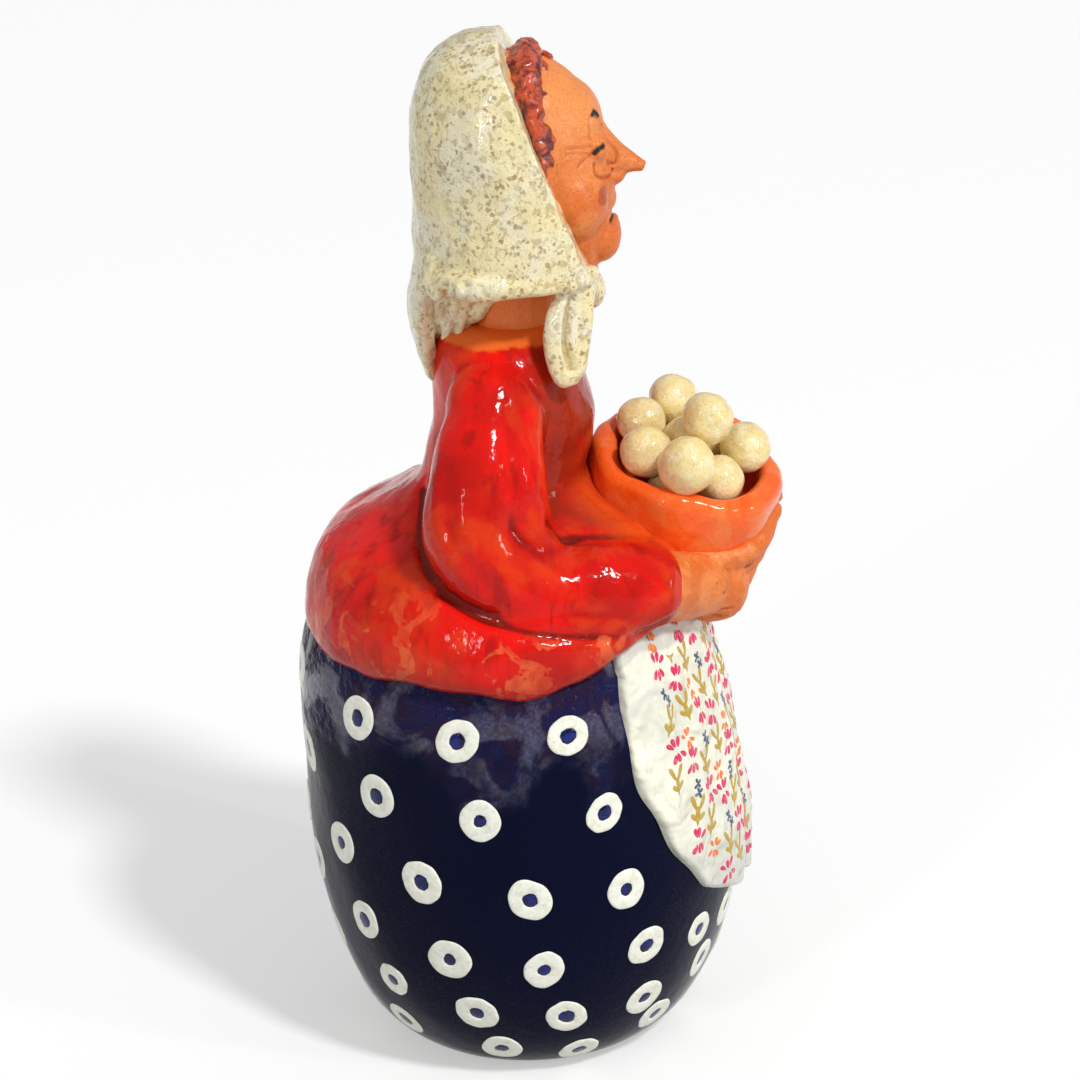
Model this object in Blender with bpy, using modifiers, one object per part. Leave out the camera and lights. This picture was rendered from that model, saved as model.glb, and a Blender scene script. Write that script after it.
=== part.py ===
"""Grandmother figurine of glazed, fired clay, holding a bowl of eggs.

The figure is hand built. A turned bell makes the skirt, a slab of clay the blouse with its
flared hem, coils the sleeves, and pinched lumps the head and hands. Kerchief, hair, apron and
bowl are luted on with slip, and the firing makes all of it one hollow piece with a vent in its
foot. Only the eggs are pieces of their own: rolled balls set in the bowl.

Metres, +Z up. She faces -Y, her right side is at -X, and the origin is the centre of the foot.
"""

import math

import bmesh
import bpy
from mathutils import Matrix, Vector

# Skirt: a turned bell, widest at its belly, that curves in to a flat foot.
FOOT_RADIUS = 0.0270
SKIRT_RADIUS = 0.0510
BELLY_HEIGHT = 0.058
SKIRT_HEIGHT = 0.130
SKIRT_FULLNESS = 3.1

# Hollow: the skirt's wall, and the vent that lets the kiln's steam out of it.
CLAY_WALL = 0.0065
VENT_RADIUS = 0.0032
VENT_BACKSET = 0.013

# Blouse: heights above the foot, and half widths and depths of the body inside it.
HEM_HEIGHT = 0.1030
HEM_THICKNESS = 0.0024
HEM_WAVE = 0.0012
HEM_WAVES = 5
WAIST_HEIGHT = 0.144
WAIST_HALF_WIDTH = 0.0205
WAIST_HALF_DEPTH = 0.0178
SHOULDER_HEIGHT = 0.161
SHOULDER_HALF_WIDTH = 0.0222
SHOULDER_HALF_DEPTH = 0.0172
NECKLINE_HEIGHT = 0.1750

# Sleeves: thick coils, bent at the elbow.
SLEEVE_RADIUS = 0.0108
CUFF_RADIUS = 0.0098
ELBOW_HEIGHT = 0.1290
ELBOW_BACKSET = 0.0060
ELBOW_SPREAD = 0.0320

# Neck and head. The head's own sizes are half width, half depth and half height.
NECK_RADIUS = 0.0112
NECK_LENGTH = 0.009
HEAD_HALF_WIDTH = 0.0178
HEAD_HALF_DEPTH = 0.0205
HEAD_HALF_HEIGHT = 0.0260
HEAD_FORWARD = 0.0040
NOSE_LENGTH = 0.0070

# Kerchief: a slab over the head, tied under the chin.
KERCHIEF_THICKNESS = 0.0038
KERCHIEF_SLANT = math.radians(17.5)
KERCHIEF_TAIL_LENGTH = 0.031
TIE_LENGTH = 0.020
TIE_RADIUS = 0.0027

# Hair: curls of clay pressed in along the kerchief's edge.
HAIR_CURLS = 11
HAIR_RADIUS = 0.0036

# Apron: a thin slab with a round lower end, tucked under the hem.
APRON_HALF_ANGLE = math.radians(60)
APRON_LENGTH = 0.066
APRON_THICKNESS = 0.0021
APRON_RIPPLE = 0.0005

# Bowl: turned, with a thick round lip. It is pressed into the chest, a little below the waist's
# height, and leans forward and to her right.
BOWL_RADIUS = 0.0222
BOWL_DEPTH = 0.031
BOWL_WALL = 0.0055
BOWL_HOLLOW = 0.014
BOWL_PRESS = 0.0006
BOWL_DROP = 0.0032
BOWL_LEAN = math.radians(12)
BOWL_SIDE_LEAN = math.radians(12)

# Eggs: balls rolled by hand, a little longer than they are wide.
EGG_RADIUS = 0.0057
EGG_STRETCH = 1.03
EGG_GAP = 0.0003

# Fingers: thin coils pressed on the bowl.
FINGER_RADIUS = 0.0034

# How finely the pinched and smeared clay is meshed.
CLAY_VOXEL = 0.0010

BLUE_GLAZE = (0.008, 0.012, 0.070, 1)
RED_GLAZE = (0.55, 0.018, 0.010, 1)
WHITE_SLIP = (0.83, 0.80, 0.70, 1)
CREAM_GLAZE = (0.70, 0.63, 0.44, 1)
BARE_CLAY = (0.78, 0.28, 0.09, 1)
ORANGE_GLAZE = (0.80, 0.17, 0.05, 1)
HAIR_GLAZE = (0.32, 0.04, 0.015, 1)
EGG_GLAZE = (0.75, 0.60, 0.33, 1)


def at(side, forward, height):
    """A point named by how far it lies to her left, in front of her axis and above her foot."""
    return Vector((side, -forward, height))


def material(name, colour, roughness):
    made = bpy.data.materials.new(name)
    made.use_nodes = True
    surface = made.node_tree.nodes["Principled BSDF"]
    surface.inputs["Base Color"].default_value = colour
    surface.inputs["Roughness"].default_value = roughness
    surface.inputs["Metallic"].default_value = 0.0
    made.diffuse_color = colour
    return made


def collection(name):
    made = bpy.data.collections.new(name)
    bpy.context.scene.collection.children.link(made)
    return made


def object_from(name, mesh, glaze, home):
    made = bpy.data.objects.new(name, mesh)
    if glaze and not mesh.materials:
        mesh.materials.append(glaze)
    home.objects.link(made)
    return made


def helper(obj):
    """Marks a form that the figure is joined from, and that isn't a piece of its own."""
    obj.hide_render = True
    obj.display_type = "WIRE"
    return obj


def smooth_through(points, steps):
    """Points on a smooth curve through these ones, as tuples of any length."""
    found = []
    last = len(points) - 1
    for i in range(last):
        before = points[max(i - 1, 0)]
        start, end = points[i], points[i + 1]
        after = points[min(i + 2, last)]
        for step in range(steps):
            t = step / steps
            found.append(
                tuple(
                    0.5 * (2 * b + (c - a) * t + (2 * a - 5 * b + 4 * c - d) * t * t)
                    + 0.5 * (3 * b - a - 3 * c + d) * t**3
                    for a, b, c, d in zip(before, start, end, after)
                )
            )
    return found + [tuple(points[last])]


def turned(name, profile, steps, glaze, home):
    """Turns a profile of (radius, height) about Z. It runs down the outer side, top to bottom."""
    mesh = bpy.data.meshes.new(name)
    edges = [(i, i + 1) for i in range(len(profile) - 1)]
    mesh.from_pydata([(radius, 0, height) for radius, height in profile], edges, [])
    made = object_from(name, mesh, glaze, home)
    screw = made.modifiers.new("Turn", "SCREW")
    screw.steps = screw.render_steps = steps
    screw.use_merge_vertices = True
    screw.merge_threshold = 0.00001
    screw.use_smooth_shade = True
    return made


def loft(name, rings, glaze, home):
    """Skins rings with as many points each, from the lowest up, and closes both ends."""
    form = bmesh.new()
    skins = [[form.verts.new(point) for point in ring] for ring in rings]
    count = len(rings[0])
    for low, high in zip(skins, skins[1:]):
        for i in range(count):
            j = (i + 1) % count
            form.faces.new((low[i], low[j], high[j], high[i]))
    form.faces.new(list(reversed(skins[0])))
    form.faces.new(skins[-1])
    mesh = bpy.data.meshes.new(name)
    form.to_mesh(mesh)
    form.free()
    return object_from(name, mesh, glaze, home)


def oval(half_width, half_depth, forward, height, count=40, wave=0.0, waves=1):
    """A level oval ring. A wave lifts and lowers it as it goes round."""
    ring = []
    for i in range(count):
        turn = 2 * math.pi * i / count
        lift = wave * math.sin(waves * turn + 0.6)
        ring.append(
            at(half_width * math.cos(turn), forward - half_depth * math.sin(turn), height + lift)
        )
    return ring


def ball(name, centre, radii, glaze, home, segments=20, rings=12):
    form = bmesh.new()
    shape = Matrix.Translation(centre) @ Matrix.Diagonal((*radii, 1))
    bmesh.ops.create_uvsphere(form, u_segments=segments, v_segments=rings, radius=1, matrix=shape)
    mesh = bpy.data.meshes.new(name)
    form.to_mesh(mesh)
    form.free()
    return object_from(name, mesh, glaze, home)


def coil(name, points, radii, glaze, home):
    """A coil of clay along these points, with its own radius at each of them."""
    path = bpy.data.curves.new(name, "CURVE")
    path.dimensions = "3D"
    path.bevel_depth = 1.0
    path.bevel_resolution = 3
    path.use_fill_caps = True
    path.resolution_u = 6
    spline = path.splines.new("BEZIER")
    spline.bezier_points.add(len(points) - 1)
    for knot, point, radius in zip(spline.bezier_points, points, radii):
        knot.co = point
        knot.radius = radius
        knot.handle_left_type = knot.handle_right_type = "AUTO"
    return object_from(name, path, glaze, home)


def solid_mesh(obj):
    """The object's evaluated mesh in world space, with a curve's loose caps welded on."""
    graph = bpy.context.evaluated_depsgraph_get()
    mesh = bpy.data.meshes.new_from_object(obj.evaluated_get(graph))
    mesh.transform(obj.matrix_world)
    form = bmesh.new()
    form.from_mesh(mesh)
    bmesh.ops.remove_doubles(form, verts=form.verts, dist=0.00001)
    bmesh.ops.recalc_face_normals(form, faces=form.faces)
    form.to_mesh(mesh)
    form.free()
    return mesh


def smear(name, forms, triangles, glaze, home, softness=4):
    """Joins overlapping lumps of clay, smears their joints smooth and thins the mesh out."""
    bpy.context.view_layer.update()
    joined = bmesh.new()
    for form in forms:
        mesh = solid_mesh(form)
        joined.from_mesh(mesh)
        bpy.data.meshes.remove(mesh)
        bpy.data.objects.remove(form)
    mesh = bpy.data.meshes.new(name)
    joined.to_mesh(mesh)
    joined.free()
    mesh.materials.clear()
    made = object_from(name, mesh, glaze, home)
    remesh = made.modifiers.new("One surface", "REMESH")
    remesh.mode = "VOXEL"
    remesh.voxel_size = CLAY_VOXEL
    smooth = made.modifiers.new("Smeared joints", "SMOOTH")
    smooth.factor = 0.5
    smooth.iterations = softness
    bpy.context.view_layer.update()
    graph = bpy.context.evaluated_depsgraph_get()
    dense = made.evaluated_get(graph).to_mesh()
    dense.calc_loop_triangles()
    thin = made.modifiers.new("Fewer faces", "DECIMATE")
    thin.ratio = min(1.0, triangles / len(dense.loop_triangles))
    thin.use_collapse_triangulate = True
    return made


def skirt_radius_at(height):
    """The skirt's outer radius: a quarter ellipse from foot to belly, then a fuller one to the top."""
    if height < BELLY_HEIGHT:
        drop = (BELLY_HEIGHT - height) / BELLY_HEIGHT
        swell = math.sqrt(max(0.0, 1 - drop * drop))
        return FOOT_RADIUS + (SKIRT_RADIUS - FOOT_RADIUS) * swell
    rise = min(1.0, (height - BELLY_HEIGHT) / (SKIRT_HEIGHT - BELLY_HEIGHT))
    return SKIRT_RADIUS * (1 - rise**SKIRT_FULLNESS) ** (1 / SKIRT_FULLNESS)


def make_skirt(glaze, home):
    heights = [BELLY_HEIGHT * (1 - math.cos(math.pi / 2 * i / 7)) for i in range(7)]
    reach = SKIRT_HEIGHT - BELLY_HEIGHT
    heights += [BELLY_HEIGHT + reach * math.sin(math.pi / 2 * i / 8) for i in range(8)]
    profile = [(0, SKIRT_HEIGHT)]
    profile += [(skirt_radius_at(height), height) for height in reversed(heights)]
    profile += [(0, 0)]
    return turned("skirt", profile, 56, glaze, home)


def make_hollow(home):
    """The air inside the skirt, as wide as leaves the clay wall, with the vent down through the foot."""
    top = SKIRT_HEIGHT - CLAY_WALL
    profile = [(0, top)]
    steps = 9
    for i in range(1, steps):
        height = top - (top - CLAY_WALL) * (1 - math.cos(math.pi * i / steps)) / 2
        radius = skirt_radius_at(height) - CLAY_WALL
        profile.append((max(radius, CLAY_WALL), height))
    profile += [(skirt_radius_at(CLAY_WALL) - 2 * CLAY_WALL, CLAY_WALL), (0, CLAY_WALL)]
    hollow = helper(turned("hollow", profile, 20, None, home))
    form = bmesh.new()
    length = 3 * CLAY_WALL
    bmesh.ops.create_cone(
        form,
        cap_ends=True,
        segments=16,
        radius1=VENT_RADIUS,
        radius2=VENT_RADIUS,
        depth=length,
        matrix=Matrix.Translation(at(0, -VENT_BACKSET, CLAY_WALL / 2)),
    )
    mesh = bpy.data.meshes.new("vent")
    form.to_mesh(mesh)
    form.free()
    vent = helper(object_from("vent", mesh, None, home))
    return [hollow, vent]


def blouse_body(glaze, home):
    """The slab over the skirt's shoulders, drawn in to the waist and up to the neckline."""
    hem = skirt_radius_at(HEM_HEIGHT) + HEM_THICKNESS
    rise = WAIST_HEIGHT - HEM_HEIGHT
    chest = (WAIST_HEIGHT + SHOULDER_HEIGHT) / 2
    width, depth = WAIST_HALF_WIDTH, WAIST_HALF_DEPTH
    yoke = NECKLINE_HEIGHT - SHOULDER_HEIGHT
    collar = 1.05 * NECK_RADIUS
    lip = HEM_THICKNESS
    # Each section: half width, half depth, how far its centre lies forward, height.
    sections = [
        (hem - 0.5 * lip, hem - 0.5 * lip, 0.0, HEM_HEIGHT),
        (hem + 0.4 * lip, hem + 0.3 * lip, -0.25 * lip, HEM_HEIGHT + 0.10 * rise),
        (hem - 0.2 * lip, hem - 0.3 * lip, -0.33 * lip, HEM_HEIGHT + 0.30 * rise),
        (0.82 * hem, 0.83 * hem, -0.33 * lip, HEM_HEIGHT + 0.54 * rise),
        (1.41 * width, 1.58 * depth, -0.25 * lip, HEM_HEIGHT + 0.77 * rise),
        (width, depth, 0.25 * lip, WAIST_HEIGHT),
        (1.04 * width, 1.02 * depth, 0.42 * lip, chest),
        (SHOULDER_HALF_WIDTH, SHOULDER_HALF_DEPTH, 0.0, SHOULDER_HEIGHT),
        (0.84 * SHOULDER_HALF_WIDTH, 0.84 * SHOULDER_HALF_DEPTH, 0.5 * lip, SHOULDER_HEIGHT + 0.57 * yoke),
        (collar, collar, HEAD_FORWARD - 0.13 * NECK_RADIUS, NECKLINE_HEIGHT),
    ]
    rings = []
    for i, (half_width, half_depth, forward, height) in enumerate(smooth_through(sections, 3)):
        fade = max(0.0, 1 - i / 6)
        rings.append(
            oval(half_width, half_depth, forward, height, 48, HEM_WAVE * fade, HEM_WAVES)
        )
    return loft("blouse_body", rings, glaze, home)


def bowl_forward():
    """How far in front of her axis the bowl's rim has its centre."""
    return 1.05 * WAIST_HALF_DEPTH + BOWL_RADIUS - BOWL_PRESS


def cuff_centre(side):
    """Where the forearm ends, beside the lower half of the bowl."""
    reach = bowl_radius_at(0.70 * BOWL_DEPTH) + 0.85 * CUFF_RADIUS
    height = WAIST_HEIGHT - BOWL_DROP - 0.74 * BOWL_DEPTH
    return at(side * reach, bowl_forward() - 0.6 * CUFF_RADIUS, height)


def sleeve(side, glaze, home):
    """One arm: the shoulder, and a coil round the elbow and forward to the round cuff."""
    thick = SLEEVE_RADIUS
    cuff = cuff_centre(side)
    elbow = at(side * ELBOW_SPREAD, -ELBOW_BACKSET, ELBOW_HEIGHT)
    inset = SHOULDER_HALF_WIDTH - 0.28 * thick
    shoulder = at(side * inset, -0.32 * thick, SHOULDER_HEIGHT - 0.1 * thick)
    upper = shoulder.lerp(elbow, 0.45) + at(side * 0.28 * thick, -0.11 * thick, 0.09 * thick)
    lower = shoulder.lerp(elbow, 0.90) + at(side * 0.11 * thick, 0, 0)
    forearm = elbow.lerp(cuff, 0.30) + at(0, 0, -0.2 * thick)
    ahead = (cuff - forearm).normalized() * CUFF_RADIUS
    points = [shoulder, upper, lower, forearm, cuff - 0.4 * ahead, cuff + 0.3 * ahead]
    points.append(cuff + 0.63 * ahead)
    radii = [0.88 * thick, 1.02 * thick, 1.06 * thick, 0.98 * thick]
    radii += [CUFF_RADIUS, 0.90 * CUFF_RADIUS, 0.45 * CUFF_RADIUS]
    return [
        ball("shoulder", shoulder, (0.9 * thick, 0.95 * thick, 0.95 * thick), glaze, home),
        coil("sleeve", points, radii, glaze, home),
    ]


def make_blouse(glaze, home):
    forms = [blouse_body(glaze, home), *sleeve(-1, glaze, home), *sleeve(1, glaze, home)]
    return smear("blouse", forms, 2300, glaze, home)


def head_centre():
    """The middle of the skull, a neck's length and half a head above the neckline."""
    return at(0, HEAD_FORWARD, NECKLINE_HEIGHT + NECK_LENGTH + HEAD_HALF_HEIGHT)


def in_head(side, forward, up):
    """A point of the head, given in shares of its half width, half depth and half height."""
    offset = at(side * HEAD_HALF_WIDTH, forward * HEAD_HALF_DEPTH, up * HEAD_HALF_HEIGHT)
    return head_centre() + offset


def make_head(glaze, home):
    """Skull, cheeks, chin and a nose pinched out to a point, on the neck."""
    width, depth, height = HEAD_HALF_WIDTH, HEAD_HALF_DEPTH, HEAD_HALF_HEIGHT
    forms = [
        ball("skull", in_head(0, -0.05, 0.06), (width, 0.97 * depth, 0.94 * height), glaze, home),
        ball("face", in_head(0, 0.30, -0.12), (0.90 * width, 0.73 * depth, 0.86 * height), glaze, home),
        ball("chin", in_head(0, 0.84, -0.66), (0.30 * width, 0.28 * width, 0.28 * width), glaze, home, 14, 10),
        ball("upper_lip", in_head(0, 1.0, -0.31), (0.236 * width, 0.107 * width, 0.067 * width), glaze, home, 12, 8),
        ball("lower_lip", in_head(0, 0.98, -0.42), (0.21 * width, 0.107 * width, 0.073 * width), glaze, home, 12, 8),
    ]
    bridge = in_head(0, 0.93, 0.26)
    root = in_head(0, 0.88, -0.10)
    tip = in_head(0, 1, -0.04) + at(0, NOSE_LENGTH, 0)
    ridge = [bridge, bridge.lerp(tip, 0.45), tip]
    wings = [root, root.lerp(tip, 0.55), tip]
    forms.append(coil("nose_ridge", ridge, [0.12 * width, 0.135 * width, 0.056 * width], glaze, home))
    forms.append(coil("nose_wings", wings, [0.24 * width, 0.157 * width, 0.056 * width], glaze, home))
    for side in (-1, 1):
        cheek = in_head(side * 0.52, 0.62, -0.24)
        lid = in_head(side * 0.44, 0.86, 0.18)
        brow = [in_head(side * a, b, c) for a, b, c in ((0.2, 0.89, 0.36), (0.46, 0.82, 0.42), (0.7, 0.64, 0.34))]
        forms.append(ball("cheek", cheek, (0.42 * width, 0.38 * width, 0.43 * width), glaze, home, 16, 10))
        forms.append(ball("eyelid", lid, (0.20 * width, 0.146 * width, 0.146 * width), glaze, home, 12, 8))
        forms.append(coil("brow", brow, [0.067 * width, 0.09 * width, 0.056 * width], glaze, home))
    neck_foot = at(0, HEAD_FORWARD - 0.13 * NECK_RADIUS, SHOULDER_HEIGHT)
    neck_top = in_head(0, -0.05, -0.60)
    forms.append(coil("neck", [neck_foot, neck_top], [NECK_RADIUS, NECK_RADIUS], glaze, home))
    return smear("head", forms, 1500, glaze, home, softness=2)


def kerchief_edge(share):
    """A point of the kerchief's front edge in her middle plane, from chin (0) to crown (1)."""
    crown = head_centre() + at(0, -0.4 * KERCHIEF_THICKNESS, HEAD_HALF_HEIGHT + KERCHIEF_THICKNESS)
    drop = 2 * HEAD_HALF_HEIGHT + KERCHIEF_THICKNESS
    chin = crown + at(0, drop * math.tan(KERCHIEF_SLANT), -drop)
    return chin.lerp(crown, share)


def kerchief_hood(glaze, home):
    """The slab over the head, lofted whole and then trimmed along its slanting front edge."""
    centre = head_centre()
    wide = HEAD_HALF_WIDTH + KERCHIEF_THICKNESS
    deep = HEAD_HALF_DEPTH + KERCHIEF_THICKNESS
    tall = HEAD_HALF_HEIGHT + KERCHIEF_THICKNESS
    # Each section: shares of the width, the depth, the thickness (how far forward) and the height.
    sections = [
        (0.92, 0.90, 0.00, -0.82),
        (1.06, 0.99, 0.08, -0.72),
        (1.07, 0.99, 0.05, -0.44),
        (1.05, 0.98, 0.00, 0.00),
        (1.00, 0.95, -0.05, 0.42),
        (0.80, 0.77, -0.16, 0.78),
        (0.48, 0.46, -0.21, 0.95),
        (0.10, 0.10, -0.21, 1.00),
    ]
    rings = []
    for across, along, ahead, up in smooth_through(sections, 3):
        middle = HEAD_FORWARD + ahead * KERCHIEF_THICKNESS
        wave = 0.16 * KERCHIEF_THICKNESS * (1 - up)
        rings.append(oval(across * wide, along * deep, middle, centre.z + up * tall, 40, wave, 3))
    hood = loft("kerchief_hood", rings, glaze, home)
    form = bmesh.new()
    form.from_mesh(hood.data)
    edge = kerchief_edge(1) - kerchief_edge(0)
    outward = Vector((0, -edge.z, edge.y)).normalized()
    cut = bmesh.ops.bisect_plane(
        form,
        geom=form.verts[:] + form.edges[:] + form.faces[:],
        plane_co=kerchief_edge(0),
        plane_no=outward,
        clear_outer=True,
    )
    rim = [part for part in cut["geom_cut"] if isinstance(part, bmesh.types.BMEdge)]
    bmesh.ops.holes_fill(form, edges=rim, sides=0)
    form.to_mesh(hood.data)
    form.free()
    return hood


def kerchief_tail(glaze, home):
    """The point of the kerchief, which hangs down her back from the gathers at the nape."""
    nape = head_centre().z - 0.9 * HEAD_HALF_HEIGHT
    back = HEAD_FORWARD - HEAD_HALF_DEPTH - 0.8 * KERCHIEF_THICKNESS
    thick = KERCHIEF_THICKNESS
    # Each section: half width, half depth and place ahead of the back, all in thicknesses, and its
    # drop as a share of the tail's length.
    sections = [
        (0.8, 0.37, 1.0, 1.00),
        (1.85, 0.63, 0.7, 0.86),
        (2.9, 0.80, 0.37, 0.58),
        (3.8, 0.90, 0.37, 0.26),
        (4.2, 1.10, 1.3, -0.10),
    ]
    rings = []
    for wide, deep, ahead, drop in smooth_through(sections, 3):
        height = nape + thick - drop * KERCHIEF_TAIL_LENGTH
        rings.append(oval(wide * thick, deep * thick, back + ahead * thick, height, 24))
    return loft("kerchief_tail", rings, glaze, home)


def kerchief_gathers(glaze, home):
    """The cloth drawn in round the back of the neck, down to the blouse."""
    top = head_centre().z - 0.84 * HEAD_HALF_HEIGHT
    neck = NECK_RADIUS
    middle = (NECKLINE_HEIGHT + top) / 2
    sections = [
        (1.09 * neck, 0.82 * neck, HEAD_FORWARD - 0.98 * neck, NECKLINE_HEIGHT - 0.36 * neck),
        (1.27 * neck, 0.93 * neck, HEAD_FORWARD - 0.94 * neck, middle),
        (HEAD_HALF_WIDTH, 1.09 * neck, HEAD_FORWARD - 0.94 * neck, top),
    ]
    rings = [
        oval(half_width, half_depth, forward, height, 28)
        for half_width, half_depth, forward, height in smooth_through(sections, 3)
    ]
    return loft("kerchief_gathers", rings, glaze, home)


def kerchief_knot():
    """The middle of the knot, under the chin."""
    return at(0, HEAD_FORWARD + 0.73 * HEAD_HALF_DEPTH, NECKLINE_HEIGHT + 0.55 * NECK_LENGTH)


def kerchief_ties(glaze, home):
    """Two bands under the jaw, the knot, and its two folded ends."""
    knot = kerchief_knot()
    thick, cloth = TIE_RADIUS, KERCHIEF_THICKNESS
    forms = [ball("knot", knot, (1.7 * thick, 1.33 * thick, 1.55 * thick), glaze, home, 14, 10)]
    for side in (-1, 1):
        corner = kerchief_edge(0.06) + at(side * 0.74 * HEAD_HALF_WIDTH, -0.8 * cloth, 0)
        points = [corner, corner.lerp(knot, 0.6), knot]
        forms.append(coil("band", points, [0.95 * cloth, 0.9 * cloth, 0.8 * cloth], glaze, home))
        fold = knot + at(side * 3.3 * thick, -1.25 * thick, 0.5 * thick)
        end = knot + at(side * 3.85 * thick, -1.85 * thick, 0.8 * thick - 0.5 * TIE_LENGTH)
        forms.append(coil("fold", [knot, fold, end], [thick, thick, thick], glaze, home))
        leaf = (thick, 1.6 * thick, 0.56 * TIE_LENGTH)
        forms.append(ball("tie", end, leaf, glaze, home, 16, 12))
    return forms


def make_kerchief(glaze, home):
    forms = [
        kerchief_hood(glaze, home),
        kerchief_tail(glaze, home),
        kerchief_gathers(glaze, home),
        *kerchief_ties(glaze, home),
    ]
    return smear("kerchief", forms, 1700, glaze, home, softness=2)


def make_hair(glaze, home):
    """Curls in an arch just inside the kerchief's edge, from temple to temple over the crown."""
    edge = (kerchief_edge(1) - kerchief_edge(0)).normalized()
    ahead = Vector((0, -edge.z, edge.y)).normalized()
    centre = kerchief_edge(1) - edge * (HEAD_HALF_HEIGHT + 1.28 * HAIR_RADIUS)
    forms = []
    for i in range(HAIR_CURLS):
        turn = math.radians(-96 + 192 * i / (HAIR_CURLS - 1))
        out = at(math.sin(turn) * (HEAD_HALF_WIDTH - 0.28 * HAIR_RADIUS), 0, 0)
        out += edge * math.cos(turn) * (HEAD_HALF_HEIGHT - 0.33 * HAIR_RADIUS)
        thin = 1 - 0.30 * abs(math.sin(turn)) ** 3
        along = at(math.cos(turn), 0, 0) - edge * math.sin(turn)
        tilt = 0.45 if i % 2 else -0.45
        start = centre + out + HAIR_RADIUS * (ahead * (0.22 - tilt) - along * 1.17)
        end = centre + out + HAIR_RADIUS * (ahead * (0.83 * thin + tilt) + along * 1.17)
        middle = start.lerp(end, 0.5) + out.normalized() * 0.33 * HAIR_RADIUS
        radii = [0.5 * HAIR_RADIUS, thin * HAIR_RADIUS, 0.5 * HAIR_RADIUS]
        forms.append(coil("curl", [start, middle, end], radii, glaze, home))
    return smear("hair", forms, 640, glaze, home, softness=1)


def bowl_radius_at(depth):
    """The bowl's outer radius at this depth under its rim."""
    return BOWL_RADIUS * math.sqrt(1 - 0.62 * (min(depth, BOWL_DEPTH) / BOWL_DEPTH) ** 2.2)


def bowl_inside():
    """The bowl's profile as (radius, height) in its own frame, from its floor over its round lip."""
    inner = BOWL_RADIUS - BOWL_WALL
    lip = BOWL_WALL / 2
    found = []
    for i in range(6):
        depth = math.cos(math.pi / 2 * i / 6)
        found.append((inner * math.sqrt(1 - depth**3.2), -BOWL_HOLLOW * depth))
    for i in range(6):
        turn = math.pi * i / 5
        found.append((inner + lip - lip * math.cos(turn), -lip + lip * math.sin(turn)))
    return found


def bowl_frame():
    """From the bowl's own frame, with its rim at z = 0 and its axis on Z, to the figure's."""
    rim = Matrix.Translation(at(0, bowl_forward(), WAIST_HEIGHT - BOWL_DROP))
    lean = Matrix.Rotation(BOWL_LEAN, 4, "X") @ Matrix.Rotation(-BOWL_SIDE_LEAN, 4, "Y")
    return rim @ lean


def make_bowl(glaze, home):
    profile = bowl_inside()
    profile += [(bowl_radius_at(BOWL_DEPTH * i / 6), -BOWL_DEPTH * i / 6) for i in range(1, 7)]
    profile.append((0, -BOWL_DEPTH))
    bowl = turned("bowl", profile, 40, glaze, home)
    bowl.matrix_world = bowl_frame()
    return bowl


def make_bowl_room(home):
    """What is cleared out of the chest and hem for the bowl: half its wall, its hollow and the heap."""
    half = BOWL_WALL / 2
    radius = BOWL_RADIUS - half
    profile = [(0, BOWL_RADIUS), (radius, BOWL_RADIUS), (radius, -half)]
    for i in range(1, 5):
        turn = math.pi / 2 * i / 5
        profile.append((radius * math.cos(turn) ** 0.6, -half - BOWL_HOLLOW * math.sin(turn)))
    profile.append((0, -half - BOWL_HOLLOW))
    room = helper(turned("bowl_room", profile, 32, None, home))
    room.matrix_world = bowl_frame()
    return room


def on_bowl(turn, depth, out):
    """A point this far outside the bowl. The turn is from its front towards her left."""
    radius = bowl_radius_at(depth) + out
    local = Vector((radius * math.sin(turn), -radius * math.cos(turn), -depth))
    return bowl_frame() @ local


def hand(side, glaze, home):
    """Palm and four fingers wrapped round the bowl from the cuff to the middle of its front."""
    thick, wide = FINGER_RADIUS, CUFF_RADIUS
    palm = on_bowl(side * math.radians(62), 0.72 * BOWL_DEPTH, 0.1 * thick)
    cuff = cuff_centre(side)
    wrist = [cuff, cuff.lerp(palm, 0.6), palm]
    forms = [
        ball("palm", palm, (0.71 * wide, 0.87 * wide, 0.90 * wide), glaze, home, 16, 12),
        coil("wrist", wrist, [0.80 * wide, 0.80 * wide, 0.71 * wide], glaze, home),
    ]
    for finger in range(4):
        depth = (0.50 + 0.14 * finger) * BOWL_DEPTH
        reach = math.radians(9 + 5 * finger)
        start = on_bowl(side * math.radians(80), depth + 0.6 * thick, 0)
        middle = on_bowl(side * math.radians(44), depth, 0.12 * thick)
        end = on_bowl(side * reach, depth + (0.15 * finger - 0.7) * thick, -0.12 * thick)
        points = [start, middle, end]
        forms.append(coil("finger", points, [thick, 0.88 * thick, 0.65 * thick], glaze, home))
        forms.append(ball("fingertip", end, (0.65 * thick,) * 3, glaze, home, 10, 8))
    return forms


def make_hands(glaze, home):
    return [
        smear(f"hand_{name}", hand(side, glaze, home), 430, glaze, home, softness=1)
        for name, side in (("right", -1), ("left", 1))
    ]


def apron_half_angle_at(height):
    """How far round the skirt the apron reaches on each side at this height."""
    drop = min(1.0, max(0.0, (HEM_HEIGHT - height) / APRON_LENGTH))
    return APRON_HALF_ANGLE * math.sqrt(1 - drop * drop)


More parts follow.
